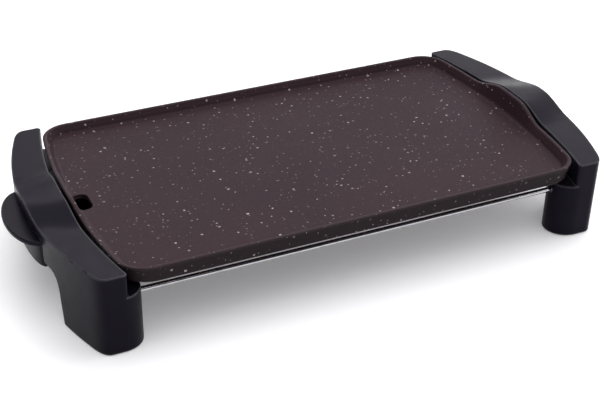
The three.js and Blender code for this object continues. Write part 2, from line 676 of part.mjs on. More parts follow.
// An angle rail that carries the tray's flange, with a tab screwed to the bracket's inner wall.
function trayRunner(name, side) {
  const { start, end, thickness, web, tab, tabHeight } = RUNNER;
  const ledgeTop = TRAY.top - FLANGE_THICKNESS - GAP;
  const outer = RUNNER_INNER + thickness;
  const low = ledgeTop - thickness;
  const angle = join(
    box(start + 2, end, RUNNER_INNER - TRAY.flange, outer, low, ledgeTop),
    box(start + 2, end, RUNNER_INNER, outer, low, low + web),
    box(start, start + thickness + 1, RUNNER_INNER, outer + tab, low - 1, low - 1 + tabHeight),
  );
  const screwAt = drawnIn(RUNNER_HOLE_Y, RUNNER_SCREW_Z);
  const hole = rodX(SCREW.shank + GAP, start - 2, start + 5, screwAt, RUNNER_SCREW_Z, 12);
  const rail = cut(angle, hole);
  return piece(name, side > 0 ? rail : mirrorY(rail), steel);
}

function runnerScrew(name, side) {
  const geometry = screwGeometry(6).rotateY(-Math.PI / 2);
  const headFace = RUNNER.start + RUNNER.thickness + 1 + GAP;
  const y = side * drawnIn(RUNNER_HOLE_Y, RUNNER_SCREW_Z);
  return piece(name, geometry.translate(headFace, y, RUNNER_SCREW_Z), steel);
}

// ---------- assembly ----------
const lifted = new THREE.Group();
lifted.add(griddlePlate(), ...heatingParts());
lifted.add(inletShroud(), terminalBlock(), probeSleeve());
lifted.add(terminalPin("terminal_pin_live", 1), terminalPin("terminal_pin_neutral", -1));

const base = new THREE.Group();
base.add(bracket("left_bracket", -1), bracket("right_bracket", 1));
base.add(tieRod("front_rod", -1), tieRod("rear_rod", 1), ...cornerParts());
base.add(trayRunner("tray_runner_front", -1), trayRunner("tray_runner_rear", 1));
base.add(runnerScrew("runner_screw_front", -1), runnerScrew("runner_screw_rear", 1));
base.add(dripTray());

// The origin is the middle of the whole footprint, tray lip included, on the table.
const griddle = new THREE.Group();
const trayReach = LIP.reach - TRAY.front;
griddle.position.set((trayReach - BRACKET_REACH) / 2, 0, RIM_HEIGHT);
griddle.add(lifted, base);

export default griddle;
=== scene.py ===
"""Looks of a table-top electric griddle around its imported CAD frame.

Metres, +Z up, +X towards the power inlet, -Y towards the cook. Shapes are drawn about the centre of the plate's
rim plane, as the CAD source draws them, and install() then puts them in the frame.
"""
import math

import bmesh
import bpy
from mathutils import Matrix, Vector


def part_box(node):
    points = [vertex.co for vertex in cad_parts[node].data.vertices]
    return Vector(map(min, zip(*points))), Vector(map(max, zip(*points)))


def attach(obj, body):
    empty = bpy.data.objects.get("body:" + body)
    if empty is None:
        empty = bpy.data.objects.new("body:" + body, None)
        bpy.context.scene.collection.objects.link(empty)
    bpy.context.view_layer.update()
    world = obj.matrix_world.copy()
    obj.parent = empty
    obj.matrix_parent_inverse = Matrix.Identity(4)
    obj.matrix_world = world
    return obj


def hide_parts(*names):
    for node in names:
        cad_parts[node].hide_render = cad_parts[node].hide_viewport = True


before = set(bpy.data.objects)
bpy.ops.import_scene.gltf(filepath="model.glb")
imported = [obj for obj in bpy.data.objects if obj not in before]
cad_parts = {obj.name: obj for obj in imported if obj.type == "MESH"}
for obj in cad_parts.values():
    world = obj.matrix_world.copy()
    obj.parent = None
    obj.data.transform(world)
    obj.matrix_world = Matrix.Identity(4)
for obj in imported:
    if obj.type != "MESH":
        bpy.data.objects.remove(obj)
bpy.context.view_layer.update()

MM = 0.001

# ---------- sizes, as the CAD model has them ----------
PLATE_LENGTH = 460 * MM
PLATE_DEPTH = 280 * MM
PLATE_CORNER = 28 * MM
PLATE_END_BOW = 13.2 * MM
PLATE_HEIGHT = 16 * MM
PLATE_TAPER = 3.5 * MM
PAN_DEPTH = 8.5 * MM
PLATE_FLOOR = 4.5 * MM
UNDERSIDE = -PAN_DEPTH - PLATE_FLOOR
RIM_HUMP = 9.5 * MM
DRAIN_X = -216.5 * MM
DRAIN_WIDTH = 16.4 * MM
DRAIN_LENGTH = 28 * MM

BRACKET_REACH = 268 * MM
BRACKET_INNER = 234 * MM
OUTER_BOW = 26.3 * MM
INNER_BOW = 17 * MM
BRACKET_HALF = 141 * MM
HUMP = (9 * MM, 15 * MM, 60 * MM)  # height, half length of its level crest, half length of its foot
OUTER_HUMP = (7.2 * MM, 3 * MM, 48 * MM)  # the same along a bracket's outer edge
HUMP_EDGES = (232 * MM, 268 * MM)  # x of a bracket's inner and outer edge
END_X = (190 * MM, 300 * MM)  # all of the right-hand end lies between these
WALL = 2.6 * MM
LEG_BOTTOM = -77 * MM
LEG_BACK = 78 * MM
LEG_TAPER = 3.5 * MM
ARCH_CORNER = 15 * MM
SKIRT_BOTTOM = -29 * MM
MOUTH_HALF = 50.5 * MM
MOUTH_TOP = -9 * MM
POST_X = 222 * MM
POST_Y = 121 * MM
POST_RADIUS = 20 * MM
POST_TOP = -23 * MM
POST_END = 1.22 * math.pi  # the direction in which a post's round side ends
NOSE_START = 120 * MM  # where a bracket's outer face begins to round towards its nose
NOSE_WIDTH = 15 * MM
INNER_CORNER = 3.5 * MM
FOOT_X = 232 * MM
FOOT_Y = 110 * MM
FOOT_Z = -78 * MM
BOSS_RADIUS = 9.5 * MM
SOCKET_RADIUS = 7.3 * MM  # of the hole in a boss that takes a foot
SOCKET_DEPTH = 2.9 * MM
REST_X = 208 * MM
REST_Y = 113.5 * MM

ROD_Y = 120 * MM
ROD_Z = -32 * MM
ROD_RADIUS = 2.5 * MM
ROD_END = 211.5 * MM
NUT_START = 205.7 * MM
NUT_END = 209.2 * MM
NUT_FLATS = 7 * MM

TRAY_FRONT_X = -262 * MM
TRAY_BACK_X = -158 * MM
TRAY_HALF = 42 * MM
TRAY_TOP = -22 * MM
TRAY_BOTTOM = -39 * MM
TRAY_WALL = 1.6 * MM
TRAY_CURVE = 1.5 * MM  # radius of its lower edges
SPOUT_REACH = 9 * MM
SPOUT_HALF = 44 * MM
SPOUT_TOP = -13 * MM
FLANGE_X = -228 * MM
FLANGE_REACH = 3.6 * MM  # from the tray's side, and from a rail to the end of its ledge
LIP_TOP = -11 * MM
LIP_REACH = 24 * MM
LIP_HALF = 48 * MM
LIP_WALL = 1.8 * MM
RAIL_INSIDE = 45.9 * MM
RAIL_LEDGE = -24.3 * MM
RAIL_SHEET = 1.5 * MM
RAIL_X = (-228.5 * MM, -160 * MM)
RAIL_TAB_X = (-230.5 * MM, -228 * MM)
RAIL_SCREW_Y = 54.9 * MM
RAIL_SCREW_Z = -22.5 * MM
RAIL_SCREW_FACE = -227.7 * MM  # x of its head's underside

GAP = 0.3 * MM
SHEET = 1.2 * MM  # the thickness of the clamps' and the shroud's steel
SCREW_HOLE = 1.8 * MM  # radius

ELEMENT_RADIUS = 3.25 * MM
ELEMENT_Z = -16.7 * MM
ELEMENT_INNER = 30 * MM  # distances of its runs from the middle
ELEMENT_OUTER = 88 * MM
ELEMENT_LEFT = -150 * MM
ELEMENT_RIGHT = 118 * MM
CLAMP_X = (-118 * MM, 58 * MM)
CLAMP_SCREW = 9.95 * MM  # from the element's run to the screw beside it

INLET_START = 205 * MM
INLET_END = 231 * MM
INLET_HALF = 28 * MM
INLET_HEIGHT = 19 * MM
INLET_Z = -22.8 * MM
BLOCK_BACK = 200 * MM
PIN_Y = 15 * MM
PIN_RADIUS = 2.4 * MM
PIN_END = 224 * MM
PROBE_RADIUS = 3.6 * MM
PROBE_BORE = 2.6 * MM  # radius
PROBE_START = 150 * MM
PROBE_END = 212 * MM

# The frame gives where the rim's centre is: half way along the plate, and the plate's height above its foot.
plate_low, plate_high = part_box("griddle_plate")
RIM_CENTRE = Vector(((plate_low.x + plate_high.x) / 2, 0, plate_low.z + PLATE_HEIGHT))


# ---------- shared curves ----------
def smooth_step(t):
    t = min(1.0, max(0.0, t))
    return t * t * (3 - 2 * t)


def hump_at(y, hump=HUMP):
    """Height of a hump at a distance y from the middle."""
    height, flat, foot = hump
    return height * smooth_step((foot - abs(y)) / (foot - flat))


def band_height(x, y):
    """Height of a bracket's top, between the humps of its two edges."""
    share = (x - HUMP_EDGES[0]) / (HUMP_EDGES[1] - HUMP_EDGES[0])
    return hump_at(y) + (hump_at(y, OUTER_HUMP) - hump_at(y)) * share


def bow_radius(bow):
    return (PLATE_DEPTH / 2) ** 2 / (2 * bow)


def bow_line(reach, bow, y0, y1, steps):
    """Points on an end's bowed line from y0 to y1."""
    radius = bow_radius(bow)
    ys = [y0 + (y1 - y0) * i / steps for i in range(steps + 1)]
    return [Vector((reach - radius + math.sqrt(radius**2 - y * y), y)) for y in ys]


def arc(cx, cy, radius, start, end, steps):
    angles = [start + (end - start) * i / steps for i in range(steps + 1)]
    return [Vector((cx + radius * math.cos(a), cy + radius * math.sin(a))) for a in angles]


def circle(cx, cy, radius, steps):
    return arc(cx, cy, radius, 0, 2 * math.pi, steps)[:-1]


def bezier(p0, p1, p2, p3, steps):
    points = []
    for i in range(steps + 1):
        t = i / steps
        s = 1 - t
        terms = (s**3, 3 * s * s * t, 3 * s * t * t, t**3)
        points.append(sum((w * Vector(p) for w, p in zip(terms, (p0, p1, p2, p3))), Vector(p0) * 0))
    return points


def chain(*runs):
    """Joins runs of points into one closed outline, dropping the points that repeat."""
    points = []
    for p in (p for run in runs for p in run):
        if not points or (p - points[-1]).length > 1e-6:
            points.append(p)
    if (points[0] - points[-1]).length < 1e-6:
        points.pop()
    return points


def flip_x(points):
    return [Vector((-p.x, p.y)) for p in reversed(points)]


def flip_y(points):
    return [Vector((p.x, -p.y)) for p in reversed(points)]


def offset(outline, distance):
    """An anticlockwise outline drawn in by a distance."""
    moved = []
    for i, p in enumerate(outline):
        before = (p - outline[i - 1]).normalized()
        after = (outline[(i + 1) % len(outline)] - p).normalized()
        mean = (before + after).normalized()
        reach = distance / max(0.5, mean.dot(before))
        moved.append(Vector((p.x - mean.y * reach, p.y + mean.x * reach)))
    return moved


def rounded_rectangle(x0, x1, y0, y1, r, steps=6):
    quarter = math.pi / 2
    corners = ((x1 - r, y0 + r, -1), (x1 - r, y1 - r, 0), (x0 + r, y1 - r, 1), (x0 + r, y0 + r, 2))
    return chain(*(arc(x, y, r, k * quarter, (k + 1) * quarter, steps) for x, y, k in corners))


# ---------- meshes ----------
def new_object(name, bm):
    bmesh.ops.recalc_face_normals(bm, faces=bm.faces)
    mesh = bpy.data.meshes.new(name)
    bm.to_mesh(mesh)
    bm.free()
    made = bpy.data.objects.new(name, mesh)
    bpy.context.scene.collection.objects.link(made)
    return made


def add_rings(bm, rings, closed_tube=False, cap_ends=True):
    """Skins rings of points that have the same count, and caps the first and the last."""
    loops = [[bm.verts.new(p) for p in ring] for ring in rings]
    pairs = list(zip(loops, loops[1:]))
    if closed_tube:
        pairs.append((loops[-1], loops[0]))
    for low, high in pairs:
        for i in range(len(low)):
            j = (i + 1) % len(low)
            bm.faces.new((low[i], low[j], high[j], high[i]))
    if cap_ends and not closed_tube:
        bm.faces.new(list(reversed(loops[0])))
        bm.faces.new(loops[-1])
    return loops


def fillet_steps(radius, steps):
    """Pairs of inset and drop round a quarter circle, from the wall to the top."""
    angles = [math.pi / 2 * i / steps for i in range(steps + 1)]
    return [(radius * (1 - math.cos(a)), radius * (1 - math.sin(a))) for a in angles]


def slab(name, outline, low, high, round_top=0.0, round_bottom=0.0, steps=4):
    """A solid on an outline, with rounded top and bottom edges."""
    levels = []
    if round_bottom:
        levels += [(inset, low + drop) for inset, drop in reversed(fillet_steps(round_bottom, steps))]
    else:
        levels.append((0, low))
    if round_top:
        levels += [(inset, high - drop) for inset, drop in fillet_steps(round_top, steps)]
    else:
        levels.append((0, high))
    bm = bmesh.new()
    add_rings(bm, [[Vector((p.x, p.y, z)) for p in offset(outline, inset)] for inset, z in levels])
    return new_object(name, bm)


def box_solid(name, x0, x1, y0, y1, z0, z1):
    outline = [Vector((x0, y0)), Vector((x1, y0)), Vector((x1, y1)), Vector((x0, y1))]
    return slab(name, outline, z0, z1)


def disc(name, x, y, radius, low, high, steps=24):
    """An upright cylinder."""
    return slab(name, circle(x, y, radius, steps), low, high)


def prism_x(name, profile, x0, x1):
    """A solid whose profile of (y, z) points runs along x."""
    bm = bmesh.new()
    add_rings(bm, [[Vector((x, p[0], p[1])) for p in profile] for x in (x0, x1)])
    return new_object(name, bm)


def lathe(name, profile, axis="Z", steps=48):
    """Turns (radius, height) points round an axis; the profile starts and ends on it."""
    bm = bmesh.new()
    rings = []
    for r, h in profile[1:-1]:
        rings.append([bm.verts.new((p.x, p.y, h)) for p in circle(0, 0, r, steps)])
    start = bm.verts.new((0, 0, profile[0][1]))
    end = bm.verts.new((0, 0, profile[-1][1]))
    for i in range(steps):
        j = (i + 1) % steps
        bm.faces.new((start, rings[0][j], rings[0][i]))
        for low, high in zip(rings, rings[1:]):
            bm.faces.new((low[i], low[j], high[j], high[i]))
        bm.faces.new((end, rings[-1][i], rings[-1][j]))
    if axis == "X":
        bmesh.ops.rotate(bm, verts=bm.verts, matrix=Matrix.Rotation(math.pi / 2, 3, "Y"))
    return new_object(name, bm)


def rod_x(name, radius, x0, x1, y, z, steps=40, chamfer=0.0):
    """A cylinder along x."""
    near = [(radius - chamfer, x0), (radius, x0 + chamfer)] if chamfer else [(radius, x0)]
    far = [(radius, x1 - chamfer), (radius - chamfer, x1)] if chamfer else [(radius, x1)]
    return shift(lathe(name, [(0, x0)] + near + far + [(0, x1)], "X", steps), 0, y, z)


def shift(piece, x, y, z):
    piece.data.transform(Matrix.Translation((x, y, z)))
    return piece


def apply_modifiers(piece):
    graph = bpy.context.evaluated_depsgraph_get()
    mesh = bpy.data.meshes.new_from_object(piece.evaluated_get(graph))
    piece.modifiers.clear()
    old = piece.data
    piece.data = mesh
    bpy.data.meshes.remove(old)
    return piece


def boolean(piece, operation, *others):
    for other in others:
        modifier = piece.modifiers.new("boolean", "BOOLEAN")
        modifier.operation = operation
        modifier.solver = "EXACT"
        modifier.object = other
        apply_modifiers(piece)
        bpy.data.objects.remove(other)
    return piece


def bevel(piece, width, segments=2, angle=40):
    clean(piece)
    modifier = piece.modifiers.new("bevel", "BEVEL")
    modifier.width = width
    modifier.segments = segments
    modifier.limit_method = "ANGLE"
    modifier.angle_limit = math.radians(angle)
    return apply_modifiers(piece)


def clean(piece, distance=0.04 * MM):
    """Merges what lies closer than the distance, and drops points that no face holds."""
    bm = bmesh.new()
    bm.from_mesh(piece.data)
    bmesh.ops.remove_doubles(bm, verts=bm.verts, dist=distance)
    bmesh.ops.dissolve_degenerate(bm, edges=bm.edges, dist=distance)
    bmesh.ops.delete(bm, geom=[v for v in bm.verts if not v.link_faces], context="VERTS")
    bm.to_mesh(piece.data)
    bm.free()
    return piece


def shade(piece, angle=32):
    """Smooth shading, sharp where faces meet at more than the angle, and flat across the large faces."""
    for polygon in piece.data.polygons:
        polygon.use_smooth = True
    piece.data.set_sharp_from_angle(angle=math.radians(angle))
    modifier = piece.modifiers.new("weighted_normals", "WEIGHTED_NORMAL")
    modifier.mode = "FACE_AREA_WITH_ANGLE"
    modifier.weight = 50
    modifier.keep_sharp = True
    return piece


def mirrored(piece, name, axis):
    """A copy on the other side of the middle, along X or Y."""
    mesh = piece.data.copy()
    scale = Matrix.Scale(-1, 4, Vector((1, 0, 0)) if axis == "X" else Vector((0, 1, 0)))
    mesh.transform(scale)
    mesh.flip_normals()
    made = bpy.data.objects.new(name, mesh)
    bpy.context.scene.collection.objects.link(made)
    return made


# ---------- materials ----------
class Shader:
    """The nodes of a material or a world, with short names for those that are needed."""

    def __init__(self, owner, main="Principled BSDF", coordinates="Object"):
        owner.use_nodes = True
        self.owner = owner
        self.tree = owner.node_tree
        self.main = self.tree.nodes[main]
        self.place = self.add("ShaderNodeTexCoord").outputs[coordinates]

    def add(self, kind, sockets=None, **settings):
        node = self.tree.nodes.new(kind)
        for key, value in settings.items():
            setattr(node, key, value)
        for key, value in (sockets or {}).items():
            self.feed(node.inputs[key], value)
        return node

    def feed(self, socket, value):
        if isinstance(value, (int, float, tuple)):
            socket.default_value = value
        else:
            self.tree.links.new(value, socket)

    def math(self, operation, a, b):
        return self.add("ShaderNodeMath", {0: a, 1: b}, operation=operation).outputs[0]

    def vector(self, operation, a, b, output="Vector"):
        return self.add("ShaderNodeVectorMath", {0: a, 1: b}, operation=operation).outputs[output]

    def noise(self, scale, detail=3.0, roughness=0.5, place=None, output="Fac"):
        sockets = {"Vector": place or self.place, "Scale": scale, "Detail": detail, "Roughness": roughness}
        return self.add("ShaderNodeTexNoise", sockets).outputs[output]

    def cells(self, scale, place=None):
        sockets = {"Vector": place or self.place, "Scale": scale}
        return self.add("ShaderNodeTexVoronoi", sockets, voronoi_dimensions="3D", feature="F1").outputs

    def stretch(self, x, y, z):
        return self.add("ShaderNodeMapping", {"Vector": self.place, "Scale": (x, y, z)}).outputs[0]

    def ramp(self, value, low, high, out_low=0.0, out_high=1.0, kind="SMOOTHSTEP"):
        sockets = {"Value": value, "From Min": low, "From Max": high, "To Min": out_low, "To Max": out_high}
        return self.add("ShaderNodeMapRange", sockets, interpolation_type=kind).outputs[0]

    def mix(self, factor, a, b, kind="RGBA"):
        return self.add("ShaderNodeMix", {"Factor": factor, "A": a, "B": b}, data_type=kind).outputs["Result"]

    def bump(self, height, distance, strength):
        sockets = {"Distance": distance, "Strength": strength, "Height": height}
        return self.add("ShaderNodeBump", sockets).outputs["Normal"]

    def edges(self, width):
        """1 on edges and 0 elsewhere, from how far a rounded normal leans from the true one."""
        round_normal = self.add("ShaderNodeBevel", {"Radius": width}, samples=4).outputs[0]
        true_normal = self.add("ShaderNodeNewGeometry").outputs["Normal"]
        return self.ramp(self.vector("DOT_PRODUCT", round_normal, true_normal, "Value"), 0.995, 0.93)

    def set(self, **values):
        """Feeds sockets of the main node: Base_Color, Roughness, Normal and so on."""
        for key, value in values.items():
            self.feed(self.main.inputs[key.replace("_", " ")], value)
        return self.owner


def material(name):
    return Shader(bpy.data.materials.new(name))


def specks(s, scale, radius, share, place):
    """Scattered dots: 1 inside a dot. Share is the part of the cells that holds one."""
    cells = s.cells(scale, place)
    split = s.add("ShaderNodeSeparateColor", {0: cells["Color"]})
    least = -0.5 * radius * scale
    size = s.ramp(split.outputs[0], 1 - share - 0.1, 1.0, least, radius * scale, "LINEAR")
    inside = s.math("SUBTRACT", size, cells["Distance"])
    return s.ramp(inside, 0.0, 0.15 * radius * scale), split.outputs[1]


def painted_shade_outer_walls(s):
    """1 on the walls that face away from the plate's middle, and 0 elsewhere; the coating is darkened there as
    painted shade.
    """
    outwards = s.vector("SUBTRACT", s.place, tuple(RIM_CENTRE))
    normal = s.add("ShaderNodeTexCoord").outputs["Normal"]
    return s.ramp(s.vector("DOT_PRODUCT", outwards, normal, "Value"), 0.05, 0.12)


def stone_coating():
    s = material("stone_coating")
    wobble = s.noise(1100, 2.0, output="Color")
    strayed = s.add("ShaderNodeVectorMath", {0: wobble, "Scale": 1.6 * MM}, operation="SCALE").outputs[0]
    ragged = s.vector("ADD", s.place, strayed)
    large, tone = specks(s, 165, 1.4 * MM, 0.9, ragged)
    small, small_tone = specks(s, 280, 0.85 * MM, 0.7, ragged)
    clumps = s.ramp(s.noise(22, 3.0), 0.38, 0.58, 0.35, 1.0)
    large = s.math("MULTIPLY", large, clumps)
    cloud = s.ramp(s.noise(9, 3.0), 0.3, 0.7)
    base = s.mix(cloud, (0.0262, 0.0142, 0.0178, 1), (0.0312, 0.0168, 0.0210, 1))
    grit = s.ramp(s.noise(1500, 2.0), 0.35, 0.75)
    base = s.mix(s.math("MULTIPLY", grit, 0.3), base, (0.060, 0.040, 0.046, 1))
    # painted shade: the walls that face away from the plate's middle are darkened
    base = s.mix(s.math("MULTIPLY", painted_shade_outer_walls(s), 0.85), base, (0.0135, 0.0098, 0.0115, 1))
    # painted highlight: the rounded edges are lightened as a thin line of light along the rims
    base = s.mix(s.math("MULTIPLY", s.edges(2.4 * MM), 0.5), base, (0.10, 0.083, 0.086, 1))
    pale = s.mix(tone, (0.20, 0.168, 0.168, 1), (0.42, 0.38, 0.372, 1))
    colour = s.mix(large, base, pale)
    dim = s.mix(small_tone, (0.09, 0.070, 0.072, 1), (0.34, 0.29, 0.29, 1))
    colour = s.mix(s.math("MULTIPLY", small, 0.8), colour, dim)
    orange_peel = s.noise(620, 2.0)
    height = s.math("ADD", s.math("MULTIPLY", orange_peel, 0.5), s.math("MULTIPLY", large, 0.5))
    normal = s.bump(height, 0.035 * MM, 0.6)
    roughness = s.ramp(s.noise(300, 3.0), 0.2, 0.8, 0.42, 0.56)
    return s.set(Base_Color=colour, Roughness=roughness, Normal=normal, Specular_IOR_Level=0.055)


def black_plastic():
    s = material("black_plastic")
    cloud = s.ramp(s.noise(25, 3.0), 0.3, 0.7)
    base = s.mix(cloud, (0.0058, 0.0051, 0.0092, 1), (0.0074, 0.0065, 0.0114, 1))
    # the edges are lightened in patches, partly as wear and partly as a painted highlight
    wear_and_highlight = s.math("MULTIPLY", s.edges(2.0 * MM), s.ramp(s.noise(160, 4.0), 0.2, 0.5))
    colour = s.mix(s.math("MULTIPLY", wear_and_highlight, 0.7), base, (0.15, 0.15, 0.16, 1))
    fine = s.noise(3200, 2.0)
    height = s.math("ADD", s.cells(1900)["Distance"], s.math("MULTIPLY", fine, 0.6))
    normal = s.bump(height, 0.02 * MM, 0.55)
    roughness = s.ramp(s.noise(90, 4.0), 0.25, 0.75, 0.28, 0.36)
    s.set(Specular_IOR_Level=0.05, Specular_Tint=(0.96, 0.88, 1.0, 1))
    return s.set(Base_Color=colour, Roughness=roughness, Normal=normal)


def drawn_steel():
    s = material("drawn_steel")
    lines = s.noise(1.0, 4.0, 0.6, s.stretch(60, 2600, 2600))
    spots = s.ramp(s.noise(140, 5.0), 0.45, 0.75)
    colour = s.mix(spots, (0.46, 0.46, 0.48, 1), (0.36, 0.355, 0.36, 1))
    normal = s.bump(lines, 0.006 * MM, 0.4)
    roughness = s.ramp(lines, 0.3, 0.7, 0.07, 0.15)
    return s.set(Base_Color=colour, Roughness=roughness, Normal=normal, Metallic=1.0)


def sheet_steel():
    s = material("sheet_steel")
    lines = s.noise(1.0, 4.0, 0.6, s.stretch(120, 2200, 1200))
    tint = s.ramp(s.noise(45, 4.0), 0.35, 0.7)
    base = s.mix(tint, (0.52, 0.52, 0.53, 1), (0.42, 0.41, 0.40, 1))
    colour = s.mix(s.math("MULTIPLY", s.edges(0.4 * MM), 0.5), base, (0.72, 0.72, 0.73, 1))
    normal = s.bump(lines, 0.015 * MM, 0.4)
    roughness = s.ramp(lines, 0.3, 0.7, 0.26, 0.40)
    return s.set(Base_Color=colour, Roughness=roughness, Normal=normal, Metallic=1.0)


def element_sheath():
    s = material("element_sheath")
    heat = s.ramp(s.noise(28, 4.0), 0.35, 0.65)
    colour = s.mix(heat, (0.16, 0.15, 0.14, 1), (0.22, 0.17, 0.13, 1))
    scale = s.noise(900, 4.0)
    normal = s.bump(scale, 0.04 * MM, 0.5)
    roughness = s.ramp(scale, 0.3, 0.7, 0.42, 0.62)
    return s.set(Base_Color=colour, Roughness=roughness, Normal=normal, Metallic=0.85)


def bright_brass():
    s = material("bright_brass")
    tarnish = s.ramp(s.noise(260, 4.0), 0.4, 0.7)
    colour = s.mix(tarnish, (0.66, 0.50, 0.25, 1), (0.42, 0.29, 0.13, 1))
    rings = s.noise(1.0, 3.0, 0.5, s.stretch(4000, 300, 300))
    normal = s.bump(rings, 0.012 * MM, 0.4)
    roughness = s.ramp(tarnish, 0.0, 1.0, 0.20, 0.38)
    return s.set(Base_Color=colour, Roughness=roughness, Normal=normal, Metallic=1.0)


def phenolic():
    s = material("phenolic")
    flow = s.ramp(s.noise(180, 5.0, 0.6), 0.35, 0.7)
    colour = s.mix(flow, (0.020, 0.017, 0.015, 1), (0.036, 0.031, 0.027, 1))
    grit = s.noise(2400, 3.0)
    normal = s.bump(grit, 0.03 * MM, 0.5)
    roughness = s.ramp(flow, 0.0, 1.0, 0.45, 0.62)
    return s.set(Base_Color=colour, Roughness=roughness, Normal=normal)


def foot_rubber():
    s = material("foot_rubber")
    dust = s.ramp(s.noise(220, 4.0), 0.4, 0.75)
    colour = s.mix(dust, (0.016, 0.016, 0.016, 1), (0.040, 0.039, 0.037, 1))
    grain = s.noise(2100, 3.0)
    normal = s.bump(grain, 0.04 * MM, 0.6)
    roughness = s.ramp(grain, 0.3, 0.7, 0.70, 0.88)
    return s.set(Base_Color=colour, Roughness=roughness, Normal=normal)


def pale_floor():
    s = material("pale_floor")
    mottle = s.ramp(s.noise(3, 2.0), 0.3, 0.7)
    colour = s.mix(mottle, (0.93, 0.93, 0.935, 1), (0.945, 0.945, 0.95, 1))
    normal = s.bump(s.noise(500, 2.0), 0.02 * MM, 0.2)
    s.set(Emission_Color=(0.98, 0.98, 1.0, 1), Emission_Strength=0.2)  # a light table, as for a catalogue shot
    return s.set(Base_Color=colour, Roughness=0.75, Normal=normal)


MATERIALS = {
    "stone_coating": stone_coating(),
    "black_plastic": black_plastic(),
    "steel": sheet_steel(),
    "rod_steel": drawn_steel(),
    "element_sheath": element_sheath(),
    "brass": bright_brass(),
    "phenolic": phenolic(),
    "rubber": foot_rubber(),
}


def install(piece, body, slot, node, material=None, angle=32):
    """Shades and paints a finished piece and puts it in the frame, on its body, in place of its CAD node."""
    shade(piece, angle)
    piece.data.materials.clear()
    piece.data.materials.append(MATERIALS[material or slot])
    shift(piece, *RIM_CENTRE)
    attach(piece, body)
    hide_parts(node)


# ---------- the plate ----------
def plate_outline(inset):
    """The plate's outline drawn in by inset, always with the same count of points."""
    half_length = PLATE_LENGTH / 2 - inset
    half_depth = PLATE_DEPTH / 2 - inset
    corner = PLATE_CORNER - inset
    radius = bow_radius(PLATE_END_BOW) - inset
    bow_x = half_length - radius
    corner_y = half_depth - corner
    corner_x = bow_x + math.sqrt((radius - corner) ** 2 - corner_y**2)
    turn = math.atan2(corner_y, corner_x - bow_x)
    side = [Vector((-corner_x + 2 * corner_x * i / 30, -half_depth)) for i in range(31)]
    front_right = arc(corner_x, -corner_y, corner, -math.pi / 2, -turn, 16)
    end = arc(bow_x, 0, radius, -turn, turn, 72)
    half = chain(side[:-1], front_right[:-1], end)
    back_right = arc(corner_x, corner_y, corner, turn, math.pi / 2, 16)
    right = half + back_right[1:-1]
    return right + [-p for p in right]


def drawn_plate_point(p, z):
    """The walls draw in towards the table by PLATE_TAPER over the plate's height."""
    share = -z / PLATE_HEIGHT
    x = p.x * (1 - 2 * PLATE_TAPER / PLATE_LENGTH * share)
    y = p.y * (1 - 2 * PLATE_TAPER / PLATE_DEPTH * share)
    return Vector((x, y, z))


def plate_ring(inset, z, hump=0.0):
    """One ring of the plate; hump is the share of the end humps' height that it takes."""
    ring = []
    for p in plate_outline(inset):
        raised = z + hump * RIM_HUMP / HUMP[0] * hump_at(p.y)
        ring.append(drawn_plate_point(p, raised))
    return ring


def griddle_plate():
    rounding = 1.7 * MM
    rim_inner = 4.3 * MM
    wall_foot = 6.0 * MM
    fillet = 3.2 * MM
    rings = [plate_ring(9 * MM, UNDERSIDE), plate_ring(6.6 * MM, UNDERSIDE)]
    rings.append(plate_ring(6 * MM, UNDERSIDE - 0.6 * MM))
    rings.append(plate_ring(5.6 * MM, -PLATE_HEIGHT + 0.3 * MM))
    rings.append(plate_ring(5.3 * MM, -PLATE_HEIGHT))
    for inset, rise in reversed(fillet_steps(0.9 * MM, 4)):
        rings.append(plate_ring(inset, -PLATE_HEIGHT + rise))
    rings.append(plate_ring(0, -PLATE_HEIGHT * 0.5, 0.45))
    for inset, drop in fillet_steps(rounding, 6):
        rings.append(plate_ring(inset, -drop, 1))
    for inset, drop in reversed(fillet_steps(rounding, 6)):
        rings.append(plate_ring(rim_inner - inset, -drop, 1))
    for share in (0.25, 0.5, 0.75):
        depth = rounding + (PAN_DEPTH - fillet - rounding) * share
        rings.append(plate_ring(rim_inner + (wall_foot - rim_inner) * share, -depth, 1 - share))
    for run, rise in fillet_steps(fillet, 6):
        rings.append(plate_ring(wall_foot + run, -PAN_DEPTH + rise))
    bm = bmesh.new()
    add_rings(bm, rings)
    plate = new_object("plate", bm)
    boolean(plate, "DIFFERENCE", drain_cutter(), inlet_notch())
    bevel(plate, 0.35 * MM, 2, 50)
    boolean(plate, "DIFFERENCE", *clamp_screw_holes())
    install(plate, "plate", "stone_coating", "griddle_plate")


def inlet_notch():
    """What is taken out of the plate's foot over the inlet."""
    half = INLET_HALF + GAP
    return box_solid("notch", INLET_START - 10 * MM, INLET_END + 10 * MM, -half, half, -PLATE_HEIGHT - MM, UNDERSIDE)


def clamp_screw_holes():
    """Blind holes in the plate's floor over the clamps' screws."""
    holes = []
    for i in range(1, 5):
        low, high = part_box(f"element_clamp_screw_{i}")
        middle = (low + high) / 2 - RIM_CENTRE
        holes.append(disc(f"hole_{i}", middle.x, middle.y, SCREW_HOLE, UNDERSIDE - MM, UNDERSIDE + 3 * MM))
    return holes


def drain_cutter():
    """The drain hole, with its mouth's edge rounded."""
    x0 = DRAIN_X - DRAIN_WIDTH / 2 + 2 * MM
    x1 = DRAIN_X + DRAIN_WIDTH / 2
    hole = rounded_rectangle(x0, x1, -DRAIN_LENGTH / 2, DRAIN_LENGTH / 2, 7 * MM)
    levels = [(0, -PLATE_HEIGHT - 2 * MM), (0, -PAN_DEPTH - 1.4 * MM), (-0.5 * MM, -PAN_DEPTH - 0.4 * MM)]
    levels += [(-1.3 * MM, -PAN_DEPTH + 0.05 * MM), (-1.6 * MM, -PAN_DEPTH + 2 * MM)]
    bm = bmesh.new()
    add_rings(bm, [[Vector((p.x, p.y, z)) for p in offset(hole, inset)] for inset, z in levels])
    return new_object("drain_cutter", bm)


